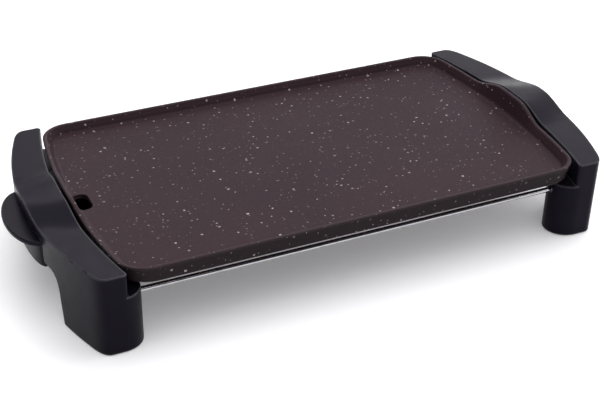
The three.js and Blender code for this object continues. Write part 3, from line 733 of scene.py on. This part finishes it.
# ---------- the end brackets ----------
def nose_line(x):
    """Rounds a bracket's outer face, from (x, NOSE_START), into its rear nose."""
    return bezier((x, NOSE_START), (x - 3.5 * MM, NOSE_START + 11 * MM), (x - 7 * MM, BRACKET_HALF),
                  (x - NOSE_WIDTH, BRACKET_HALF), 14)


def outer_line():
    """A bracket's outer face between its noses; the band and the legs share its points."""
    return bow_line(BRACKET_REACH, OUTER_BOW, -NOSE_START, NOSE_START, 100)


def band_sides(inset=0.0):
    """The outer and inner chains of a bracket's band, from its front nose to its back one, in matching points."""
    inner_end = BRACKET_HALF - INNER_CORNER
    outer_arc = outer_line()
    inner_arc = bow_line(BRACKET_INNER, INNER_BOW, -inner_end, inner_end, 104)
    corner = inner_arc[0].x
    outer_nose = nose_line(outer_arc[0].x)
    tip = outer_nose[-1]
    turn = arc(corner + INNER_CORNER, inner_end, INNER_CORNER, math.pi, math.pi / 2, 6)
    blunt = [turn[-1].lerp(tip, i / 6) for i in range(7)]
    inner_nose = turn[:-1] + blunt
    outer = flip_y(outer_nose)[:-1] + outer_arc + outer_nose[1:]
    inner = flip_y(inner_nose)[:-1] + inner_arc + inner_nose[1:]
    if inset:
        count = len(outer)
        ring = offset(outer + list(reversed(inner))[1:-1], inset)
        outer = ring[:count]
        inner = [ring[0]] + list(reversed(ring[count:])) + [ring[count - 1]]
    return outer, inner


def band_ring(inset, z_of):
    outer, inner = band_sides(inset)
    return [Vector((p.x, p.y, z_of(p))) for p in outer + list(reversed(inner))[1:-1]]


def band_block(name, inset, low, top_drop, round_edge):
    """The band as a block down to low, its top edge rounded and its top following the hump."""
    bm = bmesh.new()
    rings = [band_ring(inset, lambda p: low)]
    steps = fillet_steps(round_edge, 4) if round_edge else [(0, 0)]
    for extra, drop in steps:
        rings.append(band_ring(inset + extra, lambda p, d=drop: band_height(p.x, p.y) - top_drop - d))
    loops = add_rings(bm, rings, cap_ends=False)
    count = len(band_sides()[0])
    for loop, top in ((loops[0], False), (loops[-1], True)):
        outer = loop[:count]
        inner = [loop[0]] + list(reversed(loop[count:])) + [loop[count - 1]]
        rows = [[outer[0]]]
        for k in range(1, count - 1):
            rows.append(across_band(bm, outer[k], inner[k], top_drop) if top else [outer[k], inner[k]])
        rows.append([outer[-1]])
        for row, following in zip(rows, rows[1:]):
            for i in range(max(len(row), len(following)) - 1):
                corners = [row[min(i, len(row) - 1)], following[min(i, len(following) - 1)],
                           following[min(i + 1, len(following) - 1)], row[min(i + 1, len(row) - 1)]]
                bm.faces.new([v for j, v in enumerate(corners) if v not in corners[:j]])
    return new_object(name, bm)


def across_band(bm, outer, inner, top_drop, steps=5):
    """A row of vertices over the band's top, from its outer edge to its inner one."""
    row = [outer]
    for i in range(1, steps):
        p = outer.co.lerp(inner.co, i / steps)
        row.append(bm.verts.new((p.x, p.y, band_height(p.x, p.y) - top_drop)))
    return row + [inner]


def leg_outline():
    """The rear leg's outline: outer face, nose, round post and the back that faces the arch."""
    outer = outer_line()[-16:]
    nose = nose_line(outer[-1].x)
    post = arc(POST_X, POST_Y, POST_RADIUS, math.pi / 2, POST_END, 26)
    start = post[-1]
    mid = (POST_X + 4 * MM, LEG_BACK + 8 * MM)
    end = (POST_X + 12 * MM, LEG_BACK)
    back = bezier(start, start.lerp(Vector(mid), 2 / 3), Vector(end).lerp(Vector(mid), 2 / 3), end, 8)
    corner = bezier((BRACKET_REACH - 14 * MM, LEG_BACK), (BRACKET_REACH - 10 * MM, LEG_BACK),
                    (outer[0].x, LEG_BACK + 1.5 * MM), tuple(outer[0]), 5)
    return chain(outer, nose, post, back, corner)


def arch_profile():
    """The open space between a bracket's legs, in (y, z), with the mouth in the middle."""
    low = LEG_BOTTOM - 5 * MM
    foot = LEG_BACK + 3 * MM
    shoulder = SKIRT_BOTTOM - ARCH_CORNER - 10 * MM
    r = 4 * MM
    skirt = bezier((LEG_BACK, shoulder), (LEG_BACK, SKIRT_BOTTOM - 7 * MM),
                   (LEG_BACK - ARCH_CORNER * 0.4, SKIRT_BOTTOM), (LEG_BACK - ARCH_CORNER, SKIRT_BOTTOM), 12)
    mouth = arc(MOUTH_HALF - r, MOUTH_TOP - r, r, 0, math.pi / 2, 8)
    lip = arc(MOUTH_HALF + 1.5 * MM, SKIRT_BOTTOM + 1.5 * MM, 1.5 * MM, -math.pi / 2, -math.pi, 4)
    half = [Vector((foot + 0.2 * MM, low)), Vector((foot, LEG_BOTTOM))] + skirt + lip + mouth
    return half + flip_x(half)


def drawn_in(y, z):
    """Where a point of a bracket comes to lie: its front and rear walls draw in towards the feet."""
    return y * (1 - LEG_TAPER / BRACKET_HALF * z / LEG_BOTTOM)


def end_block(y0, y1):
    """All of the right-hand end between two depths."""
    return box_solid("keep", *END_X, y0, y1, -100 * MM, 20 * MM)


def leg_hollows():
    """What is taken out of one leg, at the back of the right bracket."""
    band = band_block("hollow", WALL, LEG_BOTTOM - 5 * MM, WALL, 0)
    leg = slab("leg_hollow", offset(leg_outline(), WALL), LEG_BOTTOM - 5 * MM, POST_TOP - WALL)
    back_wall = LEG_BACK + WALL + 1.5 * MM
    return [boolean(part, "INTERSECT", end_block(back_wall, 200 * MM)) for part in (band, leg)]


def trough():
    """The hollow under the band between the legs."""
    band = band_block("trough", WALL, LEG_BOTTOM - 6 * MM, WALL, 0)
    half = LEG_BACK - 0.5 * MM
    return boolean(band, "INTERSECT", end_block(-half, half))


def both_ends(piece):
    """The piece and its copy at the front."""
    return [piece, mirrored(piece, piece.name + "_front", "Y")]


def bracket_shape():
    """The right bracket, as one moulding that is open underneath."""
    body = band_block("right_end_bracket", 0, LEG_BOTTOM, 0, 0.9 * MM)
    boolean(body, "DIFFERENCE", prism_x("arch", arch_profile(), *END_X))
    bevel(body, 0.6 * MM, 2, 42)
    boolean(body, "UNION", *both_ends(slab("leg", leg_outline(), LEG_BOTTOM, POST_TOP, 0.9 * MM, 0.5 * MM)))
    boolean(body, "DIFFERENCE", trough())
    for hollow in leg_hollows():
        boolean(body, "DIFFERENCE", *both_ends(hollow))
    boss = disc("foot_boss", FOOT_X, FOOT_Y, BOSS_RADIUS, LEG_BOTTOM, POST_TOP - MM, 40)
    boolean(body, "UNION", *both_ends(boss))
    socket = disc("socket", FOOT_X, FOOT_Y, SOCKET_RADIUS, LEG_BOTTOM - MM, LEG_BOTTOM + SOCKET_DEPTH, 40)
    boolean(body, "DIFFERENCE", *both_ends(socket))
    bore = rod_x("bore", ROD_RADIUS + GAP, POST_X - POST_RADIUS - MM, ROD_END, ROD_Y, ROD_Z)
    boolean(body, "DIFFERENCE", *both_ends(bore))
    pilot = rod_x("pilot", SCREW_HOLE, 226 * MM, 238 * MM, RAIL_SCREW_Y, RAIL_SCREW_Z, 24)
    boolean(body, "DIFFERENCE", *both_ends(pilot))
    clean(body, 0.02 * MM)
    for vertex in body.data.vertices:
        vertex.co.y = drawn_in(vertex.co.y, vertex.co.z)
    return body


def end_brackets():
    right = bracket_shape()
    left = mirrored(right, "left_end_bracket", "X")
    install(right, "base", "black_plastic", "right_bracket")
    install(left, "base", "black_plastic", "left_bracket")


# ---------- the drip tray ----------
def half_oval(reach, half, back, steps=40):
    """Half an ellipse that bulges towards -X from the tray's front line, with a straight stretch behind it."""
    points = [Vector((TRAY_FRONT_X + back, -half)), Vector((TRAY_FRONT_X + back, half))]
    points.append(Vector((TRAY_FRONT_X, half)))
    for i in range(1, steps):
        a = math.pi / 2 + math.pi * i / steps
        points.append(Vector((TRAY_FRONT_X + reach * math.cos(a), half * math.sin(a))))
    return points + [Vector((TRAY_FRONT_X, -half))]


def tray_spout():
    return half_oval(SPOUT_REACH, SPOUT_HALF, 3 * MM)


def tray_lip():
    """The half-oval grip: a shell over the tray's spout, with a window behind it."""
    lip = slab("lip", half_oval(LIP_REACH, LIP_HALF, 2 * MM), LIP_TOP - 4 * MM, LIP_TOP, 1.6 * MM, 0.5 * MM)
    inner = half_oval(LIP_REACH - LIP_WALL, LIP_HALF - LIP_WALL, 2 * MM)
    under = slab("under", inner, LIP_TOP - 10 * MM, LIP_TOP - LIP_WALL)
    boolean(under, "DIFFERENCE", slab("core", tray_spout(), -60 * MM, 0))
    window = slab("window", half_oval(2 * MM, 30 * MM, 4 * MM), LIP_TOP - 9 * MM, 0)
    return boolean(lip, "DIFFERENCE", under, window)


def drip_tray():
    """A shallow drawer that hangs from its rails by a flange, with a spout under its lip."""
    back, half, floor = TRAY_BACK_X, TRAY_HALF, TRAY_BOTTOM + TRAY_WALL
    outline = rounded_rectangle(TRAY_FRONT_X - MM, back, -half, half, 6 * MM, 8)
    body = slab("tray", outline, TRAY_BOTTOM, TRAY_TOP, 0, TRAY_CURVE)
    reach = half + FLANGE_REACH
    flange = rounded_rectangle(FLANGE_X, back, -reach, reach, 2 * MM)
    boolean(body, "UNION", slab("flange", flange, TRAY_TOP - 2 * MM, TRAY_TOP))
    boolean(body, "UNION", slab("spout", tray_spout(), TRAY_BOTTOM, SPOUT_TOP, 0, TRAY_CURVE))
    half -= TRAY_WALL
    inner = rounded_rectangle(TRAY_FRONT_X + MM, back - TRAY_WALL, -half, half, 5 * MM, 8)
    boolean(body, "DIFFERENCE", slab("inside", inner, floor, 0, 0, TRAY_CURVE))
    pocket = half_oval(SPOUT_REACH - TRAY_WALL, half, 4 * MM)
    boolean(body, "DIFFERENCE", slab("pocket", pocket, floor, 0, 0, TRAY_CURVE))
    boolean(body, "UNION", tray_lip())
    install(clean(body, 0.02 * MM), "tray", "black_plastic", "drip_tray")


# ---------- rods, nuts, feet and rests ----------
def tie_rod(name, side):
    """A drawn steel rod with a rolled thread at each end."""
    thread, pitch, depth = 10 * MM, 0.8 * MM, 0.35 * MM
    count = int(thread / pitch)
    half = [(ROD_RADIUS - 0.8 * MM, ROD_END)]
    for i in range(count):
        x = ROD_END - 0.8 * MM - i * pitch
        half += [(ROD_RADIUS - depth, x + 0.35 * pitch), (ROD_RADIUS, x)]
    left = [(r, -x) for r, x in half]
    profile = [(0, -ROD_END)] + left + [(r, x) for r, x in reversed(half)] + [(0, ROD_END)]
    rod = lathe(name + "_bar", profile, "X", 40)
    shift(rod, 0, side * drawn_in(ROD_Y, ROD_Z), ROD_Z)
    install(rod, "base", "steel", name, "rod_steel")


def rod_nut(node, sx, sy):
    """A hexagon nut with chamfered corners, drawn for the right-hand end."""
    radius = NUT_FLATS / math.sqrt(3)
    nut = rod_x("hex_" + node, radius, NUT_START, NUT_END, 0, 0, 6)
    boolean(nut, "INTERSECT", rod_x("chamfer", radius, NUT_START, NUT_END, 0, 0, 36, 0.5 * MM))
    boolean(nut, "DIFFERENCE", rod_x("bore", ROD_RADIUS + 0.2 * MM, NUT_START - MM, NUT_END + MM, 0, 0, 36))
    clean(nut, 0.02 * MM)
    if sx < 0:
        nut.data.transform(Matrix.Scale(-1, 4, Vector((1, 0, 0))))
        nut.data.flip_normals()
    shift(nut, 0, sy * drawn_in(ROD_Y, ROD_Z), ROD_Z)
    install(nut, "base", "steel", node, angle=25)


def rubber_foot(node, sx, sy):
    """A rubber plug with a dished, ringed sole."""
    r, h = 7 * MM, 3.6 * MM
    profile = [(0, 0.5 * MM), (2.6 * MM, 0.5 * MM), (3.1 * MM, 0), (4.1 * MM, 0), (4.4 * MM, 0.35 * MM)]
    profile += [(4.9 * MM, 0.35 * MM), (5.2 * MM, 0), (r - 0.7 * MM, 0), (r - 0.2 * MM, 0.25 * MM)]
    profile += [(r, 0.8 * MM), (r, h - 0.4 * MM), (r - 0.4 * MM, h), (0, h)]
    sole = shift(lathe("sole_" + node, profile, "Z", 40), sx * FOOT_X, sy * drawn_in(FOOT_Y, LEG_BOTTOM), FOOT_Z)
    install(sole, "base", "rubber", node, angle=35)


def plate_rest(node, sx, sy):
    """A heat-proof stud with a collar, on its post and just under the plate."""
    h, base, r = UNDERSIDE - POST_TOP - 2 * GAP, 3.9 * MM, 3 * MM
    profile = [(0, 0), (base - 0.4 * MM, 0), (base, 0.4 * MM), (base, 1.7 * MM), (base - 0.4 * MM, 2.1 * MM)]
    profile += [(r + 0.4 * MM, 2.3 * MM), (r, 3.0 * MM), (r, h - 1.0 * MM), (r - 0.3 * MM, h - 0.3 * MM)]
    profile += [(r - 1.0 * MM, h), (0, h)]
    stud = lathe("stud_" + node, profile, "Z", 40)
    shift(stud, sx * REST_X, sy * drawn_in(REST_Y, POST_TOP), POST_TOP + GAP)
    install(stud, "base", "phenolic", node, angle=35)


def corner_parts():
    for end, sx in (("left", -1), ("right", 1)):
        for side, sy in (("front", -1), ("rear", 1)):
            rod_nut(f"rod_nut_{side}_{end}", sx, sy)
            rubber_foot(f"foot_{side}_{end}", sx, sy)
            plate_rest(f"plate_rest_{side}_{end}", sx, sy)


# ---------- the heating element and its clamps ----------
def element_tail():
    """The element's rear end: out of the terminal block, down to the plate's underside and out to its long run."""
    start = Vector((BLOCK_BACK - GAP, PIN_Y, INLET_Z))
    low = Vector((start.x - 26 * MM, PIN_Y, ELEMENT_Z))
    drop = bezier(start, (start.x - 14 * MM, PIN_Y, INLET_Z), (low.x + 12 * MM, PIN_Y, ELEMENT_Z), low, 12)
    run = bezier(low, (low.x - 22 * MM, PIN_Y, ELEMENT_Z), (start.x - 40 * MM, ELEMENT_OUTER, ELEMENT_Z),
                 (start.x - 80 * MM, ELEMENT_OUTER, ELEMENT_Z), 24)
    return drop + run[1:]


def element_path():
    """The element's middle line: out along one side, back and forth under the middle, and home along the other."""
    tail = element_tail()
    radius = (ELEMENT_OUTER - ELEMENT_INNER) / 2
    middle = (ELEMENT_OUTER + ELEMENT_INNER) / 2
    quarter = math.pi / 2
    bends = arc(ELEMENT_LEFT, middle, radius, quarter, 3 * quarter, 24)
    bends += arc(ELEMENT_RIGHT - ELEMENT_INNER, 0, ELEMENT_INNER, quarter, -quarter, 24)
    bends += arc(ELEMENT_LEFT, -middle, radius, quarter, 3 * quarter, 24)
    flat = [Vector((p.x, p.y, ELEMENT_Z)) for p in bends]
    return tail + flat + [Vector((p.x, -p.y, p.z)) for p in reversed(tail)]


def element_tube(sides=24):
    """The element's sheath, swept along its path; the path is nearly level, so its rings take up from +Z."""
    points = element_path()
    rings = []
    for i, p in enumerate(points):
        before = p - points[max(i - 1, 0)]
        after = points[min(i + 1, len(points) - 1)] - p
        along = (before.normalized() + after.normalized()).normalized()
        side = along.cross(Vector((0, 0, 1))).normalized()
        up = side.cross(along)
        rings.append([p + side * c.x + up * c.y for c in circle(0, 0, ELEMENT_RADIUS, sides)])
    bm = bmesh.new()
    add_rings(bm, rings)
    install(new_object("element_tube", bm), "plate", "element_sheath", "heating_element")


def clamp_strap(name, node, x, y):
    """An omega-shaped strap of bent sheet over the element, with the hole of its screw."""
    top = UNDERSIDE - GAP
    inner = ELEMENT_RADIUS + GAP
    outer = inner + SHEET
    far = outer + 9 * MM
    r = 0.9 * MM
    side = arc(outer + r, top - SHEET - r, r, math.pi, math.pi / 2, 5)
    side += [Vector((far, top - SHEET)), Vector((far, top)), Vector((inner, top))]
    profile = arc(0, ELEMENT_Z, outer, -math.pi, 0, 24) + side
    profile += arc(0, ELEMENT_Z, inner, 0, -math.pi, 24) + flip_x(side)
    half = 6 * MM
    strap = prism_x(name, [(y + p.x, p.y) for p in profile], x - half, x + half)
    bevel(strap, 0.2 * MM, 2, 50)
    boolean(strap, "DIFFERENCE", disc("hole", x, clamp_screw_y(y), SCREW_HOLE, top - 3 * MM, top + MM))
    install(strap, "plate", "steel", node)


def clamp_screw_y(y):
    return y + math.copysign(CLAMP_SCREW, y)


def pan_screw(name, length):
    """A pan-head screw along +Z with a cross recess, its head's underside at z = 0."""
    shank, head, pitch = 1.5 * MM, 3 * MM, 0.8 * MM
    angles = [math.pi / 2 * i / 8 for i in range(9)]
    dome = [(head * math.sin(a), -0.8 * MM - 1.2 * MM * math.cos(a)) for a in angles]
    profile = dome + [(head, -0.25 * MM), (head - 0.25 * MM, 0), (shank, 0)]
    for i in range(1, round(length / pitch)):
        z = i * pitch
        profile += [(shank - 0.3 * MM, z - 0.3 * MM), (shank, z)]
    screw = lathe(name, profile + [(0, length)], "Z", 32)
    for long, wide in ((1.4, 0.3), (0.3, 1.4)):
        slot = box_solid("slot", -long * MM, long * MM, -wide * MM, wide * MM, -2.5 * MM, -1.0 * MM)
        boolean(screw, "DIFFERENCE", slot)
    return clean(screw, 0.02 * MM)


def heating_parts():
    element_tube()
    places = [(x, side * ELEMENT_OUTER) for x in CLAMP_X for side in (1, -1)]
    for i, (x, y) in enumerate(places, 1):
        clamp_strap(f"strap_{i}", f"element_clamp_{i}", x, y)
        screw = shift(pan_screw(f"strap_screw_{i}", 4 * MM), x, clamp_screw_y(y), UNDERSIDE - SHEET - 2 * GAP)
        install(screw, "plate", "steel", f"element_clamp_screw_{i}")


# ---------- the power inlet ----------
def inlet_ring(inset, x):
    """The inlet's outline in the YZ plane at x, drawn in by inset."""
    half, high = INLET_HALF - inset, INLET_HEIGHT / 2 - inset
    outline = rounded_rectangle(-half, half, INLET_Z - high, INLET_Z + high, high * 0.9, 10)
    return [Vector((x, p.x, p.y)) for p in outline]


def inlet_shroud():
    """A drawn steel shroud with a rolled mouth."""
    angles = [math.pi * i / 8 for i in range(9)]
    mouth = [(SHEET / 2 * (1 - math.cos(a)), INLET_END - SHEET / 2 * (1 - math.sin(a))) for a in angles]
    bm = bmesh.new()
    rings = [inlet_ring(0, INLET_START)] + [inlet_ring(inset, x) for inset, x in mouth]
    add_rings(bm, rings + [inlet_ring(SHEET, INLET_START)], closed_tube=True)
    install(new_object("shroud_shell", bm), "plate", "steel", "inlet_shroud")


def terminal_block():
    """The insulator at the back of the inlet, bored for its pins and the probe's sleeve."""
    rounding = [(0.5 * MM, BLOCK_BACK), (0.15 * MM, BLOCK_BACK + 0.15 * MM), (0, BLOCK_BACK + 0.5 * MM)]
    rounding += [(inset, INLET_START - GAP - (x - BLOCK_BACK)) for inset, x in reversed(rounding)]
    bm = bmesh.new()
    add_rings(bm, [inlet_ring(inset, x) for inset, x in rounding])
    block = new_object("insulator", bm)
    for y, radius in ((-PIN_Y, PIN_RADIUS), (0, PROBE_RADIUS), (PIN_Y, PIN_RADIUS)):
        boolean(block, "DIFFERENCE", rod_x("bore", radius + GAP, BLOCK_BACK - MM, INLET_START + MM, y, INLET_Z, 32))
    install(block, "plate", "phenolic", "terminal_block")


def pin_profile():
    """A round-nosed pin."""
    r, edge = PIN_RADIUS, 0.2 * MM
    angles = [math.pi / 2 * i / 8 for i in range(8)]
    nose = [(r * math.cos(a), PIN_END - r * 0.9 * (1 - math.sin(a))) for a in angles]
    return [(0, BLOCK_BACK), (r - edge, BLOCK_BACK), (r, BLOCK_BACK + edge)] + nose + [(0, PIN_END)]


def sleeve_profile():
    """A tube that is closed at its far end."""
    start, end, r, bore, edge = PROBE_START, PROBE_END, PROBE_RADIUS, PROBE_BORE, 0.3 * MM
    closed = [(0, start), (r - MM, start), (r - edge, start + edge), (r, start + MM)]
    mouth = [(r, end - edge), (r - edge, end), (bore + edge, end), (bore, end - edge)]
    return closed + mouth + [(bore, start + 2 * MM), (0, start + 2 * MM)]


def inlet_parts():
    inlet_shroud()
    terminal_block()
    for name, y in (("live", PIN_Y), ("neutral", -PIN_Y)):
        pin = shift(lathe("pin_" + name, pin_profile(), "X", 36), 0, y, INLET_Z)
        install(pin, "plate", "brass", "terminal_pin_" + name)
    tube = shift(lathe("probe_tube", sleeve_profile(), "X", 36), 0, 0, INLET_Z)
    install(tube, "plate", "steel", "probe_sleeve")


# ---------- the rails that carry the tray ----------
def rear_rail():
    """An angle with a ledge for the tray's flange, and the tab that its screw holds."""
    outside = RAIL_INSIDE + RAIL_SHEET
    low = RAIL_LEDGE - RAIL_SHEET
    tip = RAIL_INSIDE - FLANGE_REACH
    profile = [(tip, low)] + [tuple(p) for p in arc(outside - MM, low + MM, MM, -math.pi / 2, 0, 5)]
    profile += [(outside, low + 5 * MM), (RAIL_INSIDE, low + 5 * MM), (RAIL_INSIDE, RAIL_LEDGE), (tip, RAIL_LEDGE)]
    rail = prism_x("rail_rear", profile, *RAIL_X)
    tab = box_solid("tab", *RAIL_TAB_X, RAIL_INSIDE, outside + 12 * MM, low - MM, low + 8 * MM)
    bevel(boolean(rail, "UNION", tab), 0.2 * MM, 2, 50)
    hole_x = (RAIL_TAB_X[0] - 2.5 * MM, RAIL_TAB_X[1] + 3 * MM)
    hole_y = drawn_in(RAIL_SCREW_Y, RAIL_SCREW_Z)
    return boolean(rail, "DIFFERENCE", rod_x("hole", SCREW_HOLE, *hole_x, hole_y, RAIL_SCREW_Z, 24))


def tray_rails():
    rear = rear_rail()
    front = mirrored(rear, "rail_front", "Y")
    for rail, side, sy in ((rear, "rear", 1), (front, "front", -1)):
        install(rail, "base", "steel", f"tray_runner_{side}")
        screw = pan_screw(f"rail_screw_{side}", 6 * MM)
        screw.data.transform(Matrix.Rotation(-math.pi / 2, 4, "Y"))
        shift(screw, RAIL_SCREW_FACE, sy * drawn_in(RAIL_SCREW_Y, RAIL_SCREW_Z), RAIL_SCREW_Z)
        install(screw, "base", "steel", f"runner_screw_{side}")


# ---------- floor, light and camera ----------
def studio():
    """A pale floor, and a world that glows from the right and behind, as a wide soft reflector would."""
    floor = disc("studio_floor", 0, 0, 8, -0.02, 0, 96)
    floor.data.materials.append(pale_floor())
    world = bpy.data.worlds.new("studio")
    bpy.context.scene.world = world
    s = Shader(world, "Background", "Generated")
    reflector = tuple(Vector((0.75, 0.45, 0.5)).normalized())
    glow = s.ramp(s.vector("DOT_PRODUCT", s.place, reflector, "Value"), 0.4, 0.95, 0.08, 1.8)
    seen = s.add("ShaderNodeLightPath").outputs["Is Camera Ray"]
    s.set(Color=(0.975, 0.95, 1.0, 1), Strength=s.mix(seen, glow, 0.9, "FLOAT"))


def soft_light(name, place_at, aim, size, power):
    data = bpy.data.lights.new(name, "AREA")
    data.shape = "RECTANGLE"
    data.size, data.size_y = size
    data.energy = power
    light = bpy.data.objects.new(name, data)
    bpy.context.scene.collection.objects.link(light)
    light.location = place_at
    light.rotation_mode = "QUATERNION"
    light.rotation_quaternion = (Vector(aim) - Vector(place_at)).to_track_quat("-Z", "Y")
    return light


def lights():
    soft_light("overhead", (-0.2, -0.3, 1.9), (0, 0, 0), (3.2, 2.8), 46)
    soft_light("back_strip", (1.2, 2.3, 0.32), (0, 0, 0.05), (2.2, 0.45), 2.7)
    soft_light("high_strip", (-0.02, 1.68, 1.45), (-0.25, 0, 0.09), (0.8, 0.25), 4.5)
    soft_light("left_strip", (-1.35, -0.3, 0.35), (-0.2, -0.1, 0.02), (0.25, 0.5), 0.45)
    soft_light("front_right", (1.0, -1.1, 0.4), (-0.2, -0.1, 0.02), (0.3, 0.5), 1.2)


def camera():
    """The view from the front, left of the middle, through a short telephoto lens."""
    azimuth, elevation = math.radians(-24.28), math.radians(30.58)
    distance = 1.1065
    aim = RIM_CENTRE + Vector((-0.0435, -0.0902, 0))
    back = Vector((math.sin(azimuth) * math.cos(elevation), -math.cos(azimuth) * math.cos(elevation),
                   math.sin(elevation)))
    data = bpy.data.cameras.new("photo_view")
    data.sensor_width = 36
    data.lens = 75.63
    data.clip_start = 0.05
    view = bpy.data.objects.new("photo_view", data)
    bpy.context.scene.collection.objects.link(view)
    view.location = aim + back * distance
    view.rotation_mode = "QUATERNION"
    view.rotation_quaternion = (-back).to_track_quat("-Z", "Y")
    bpy.context.scene.camera = view


# ---------- the whole ----------
camera()
griddle_plate()
end_brackets()
drip_tray()
tie_rod("front_rod", -1)
tie_rod("rear_rod", 1)
corner_parts()
heating_parts()
inlet_parts()
tray_rails()
studio()
lights()
bpy.context.scene.view_settings.view_transform = "Standard"
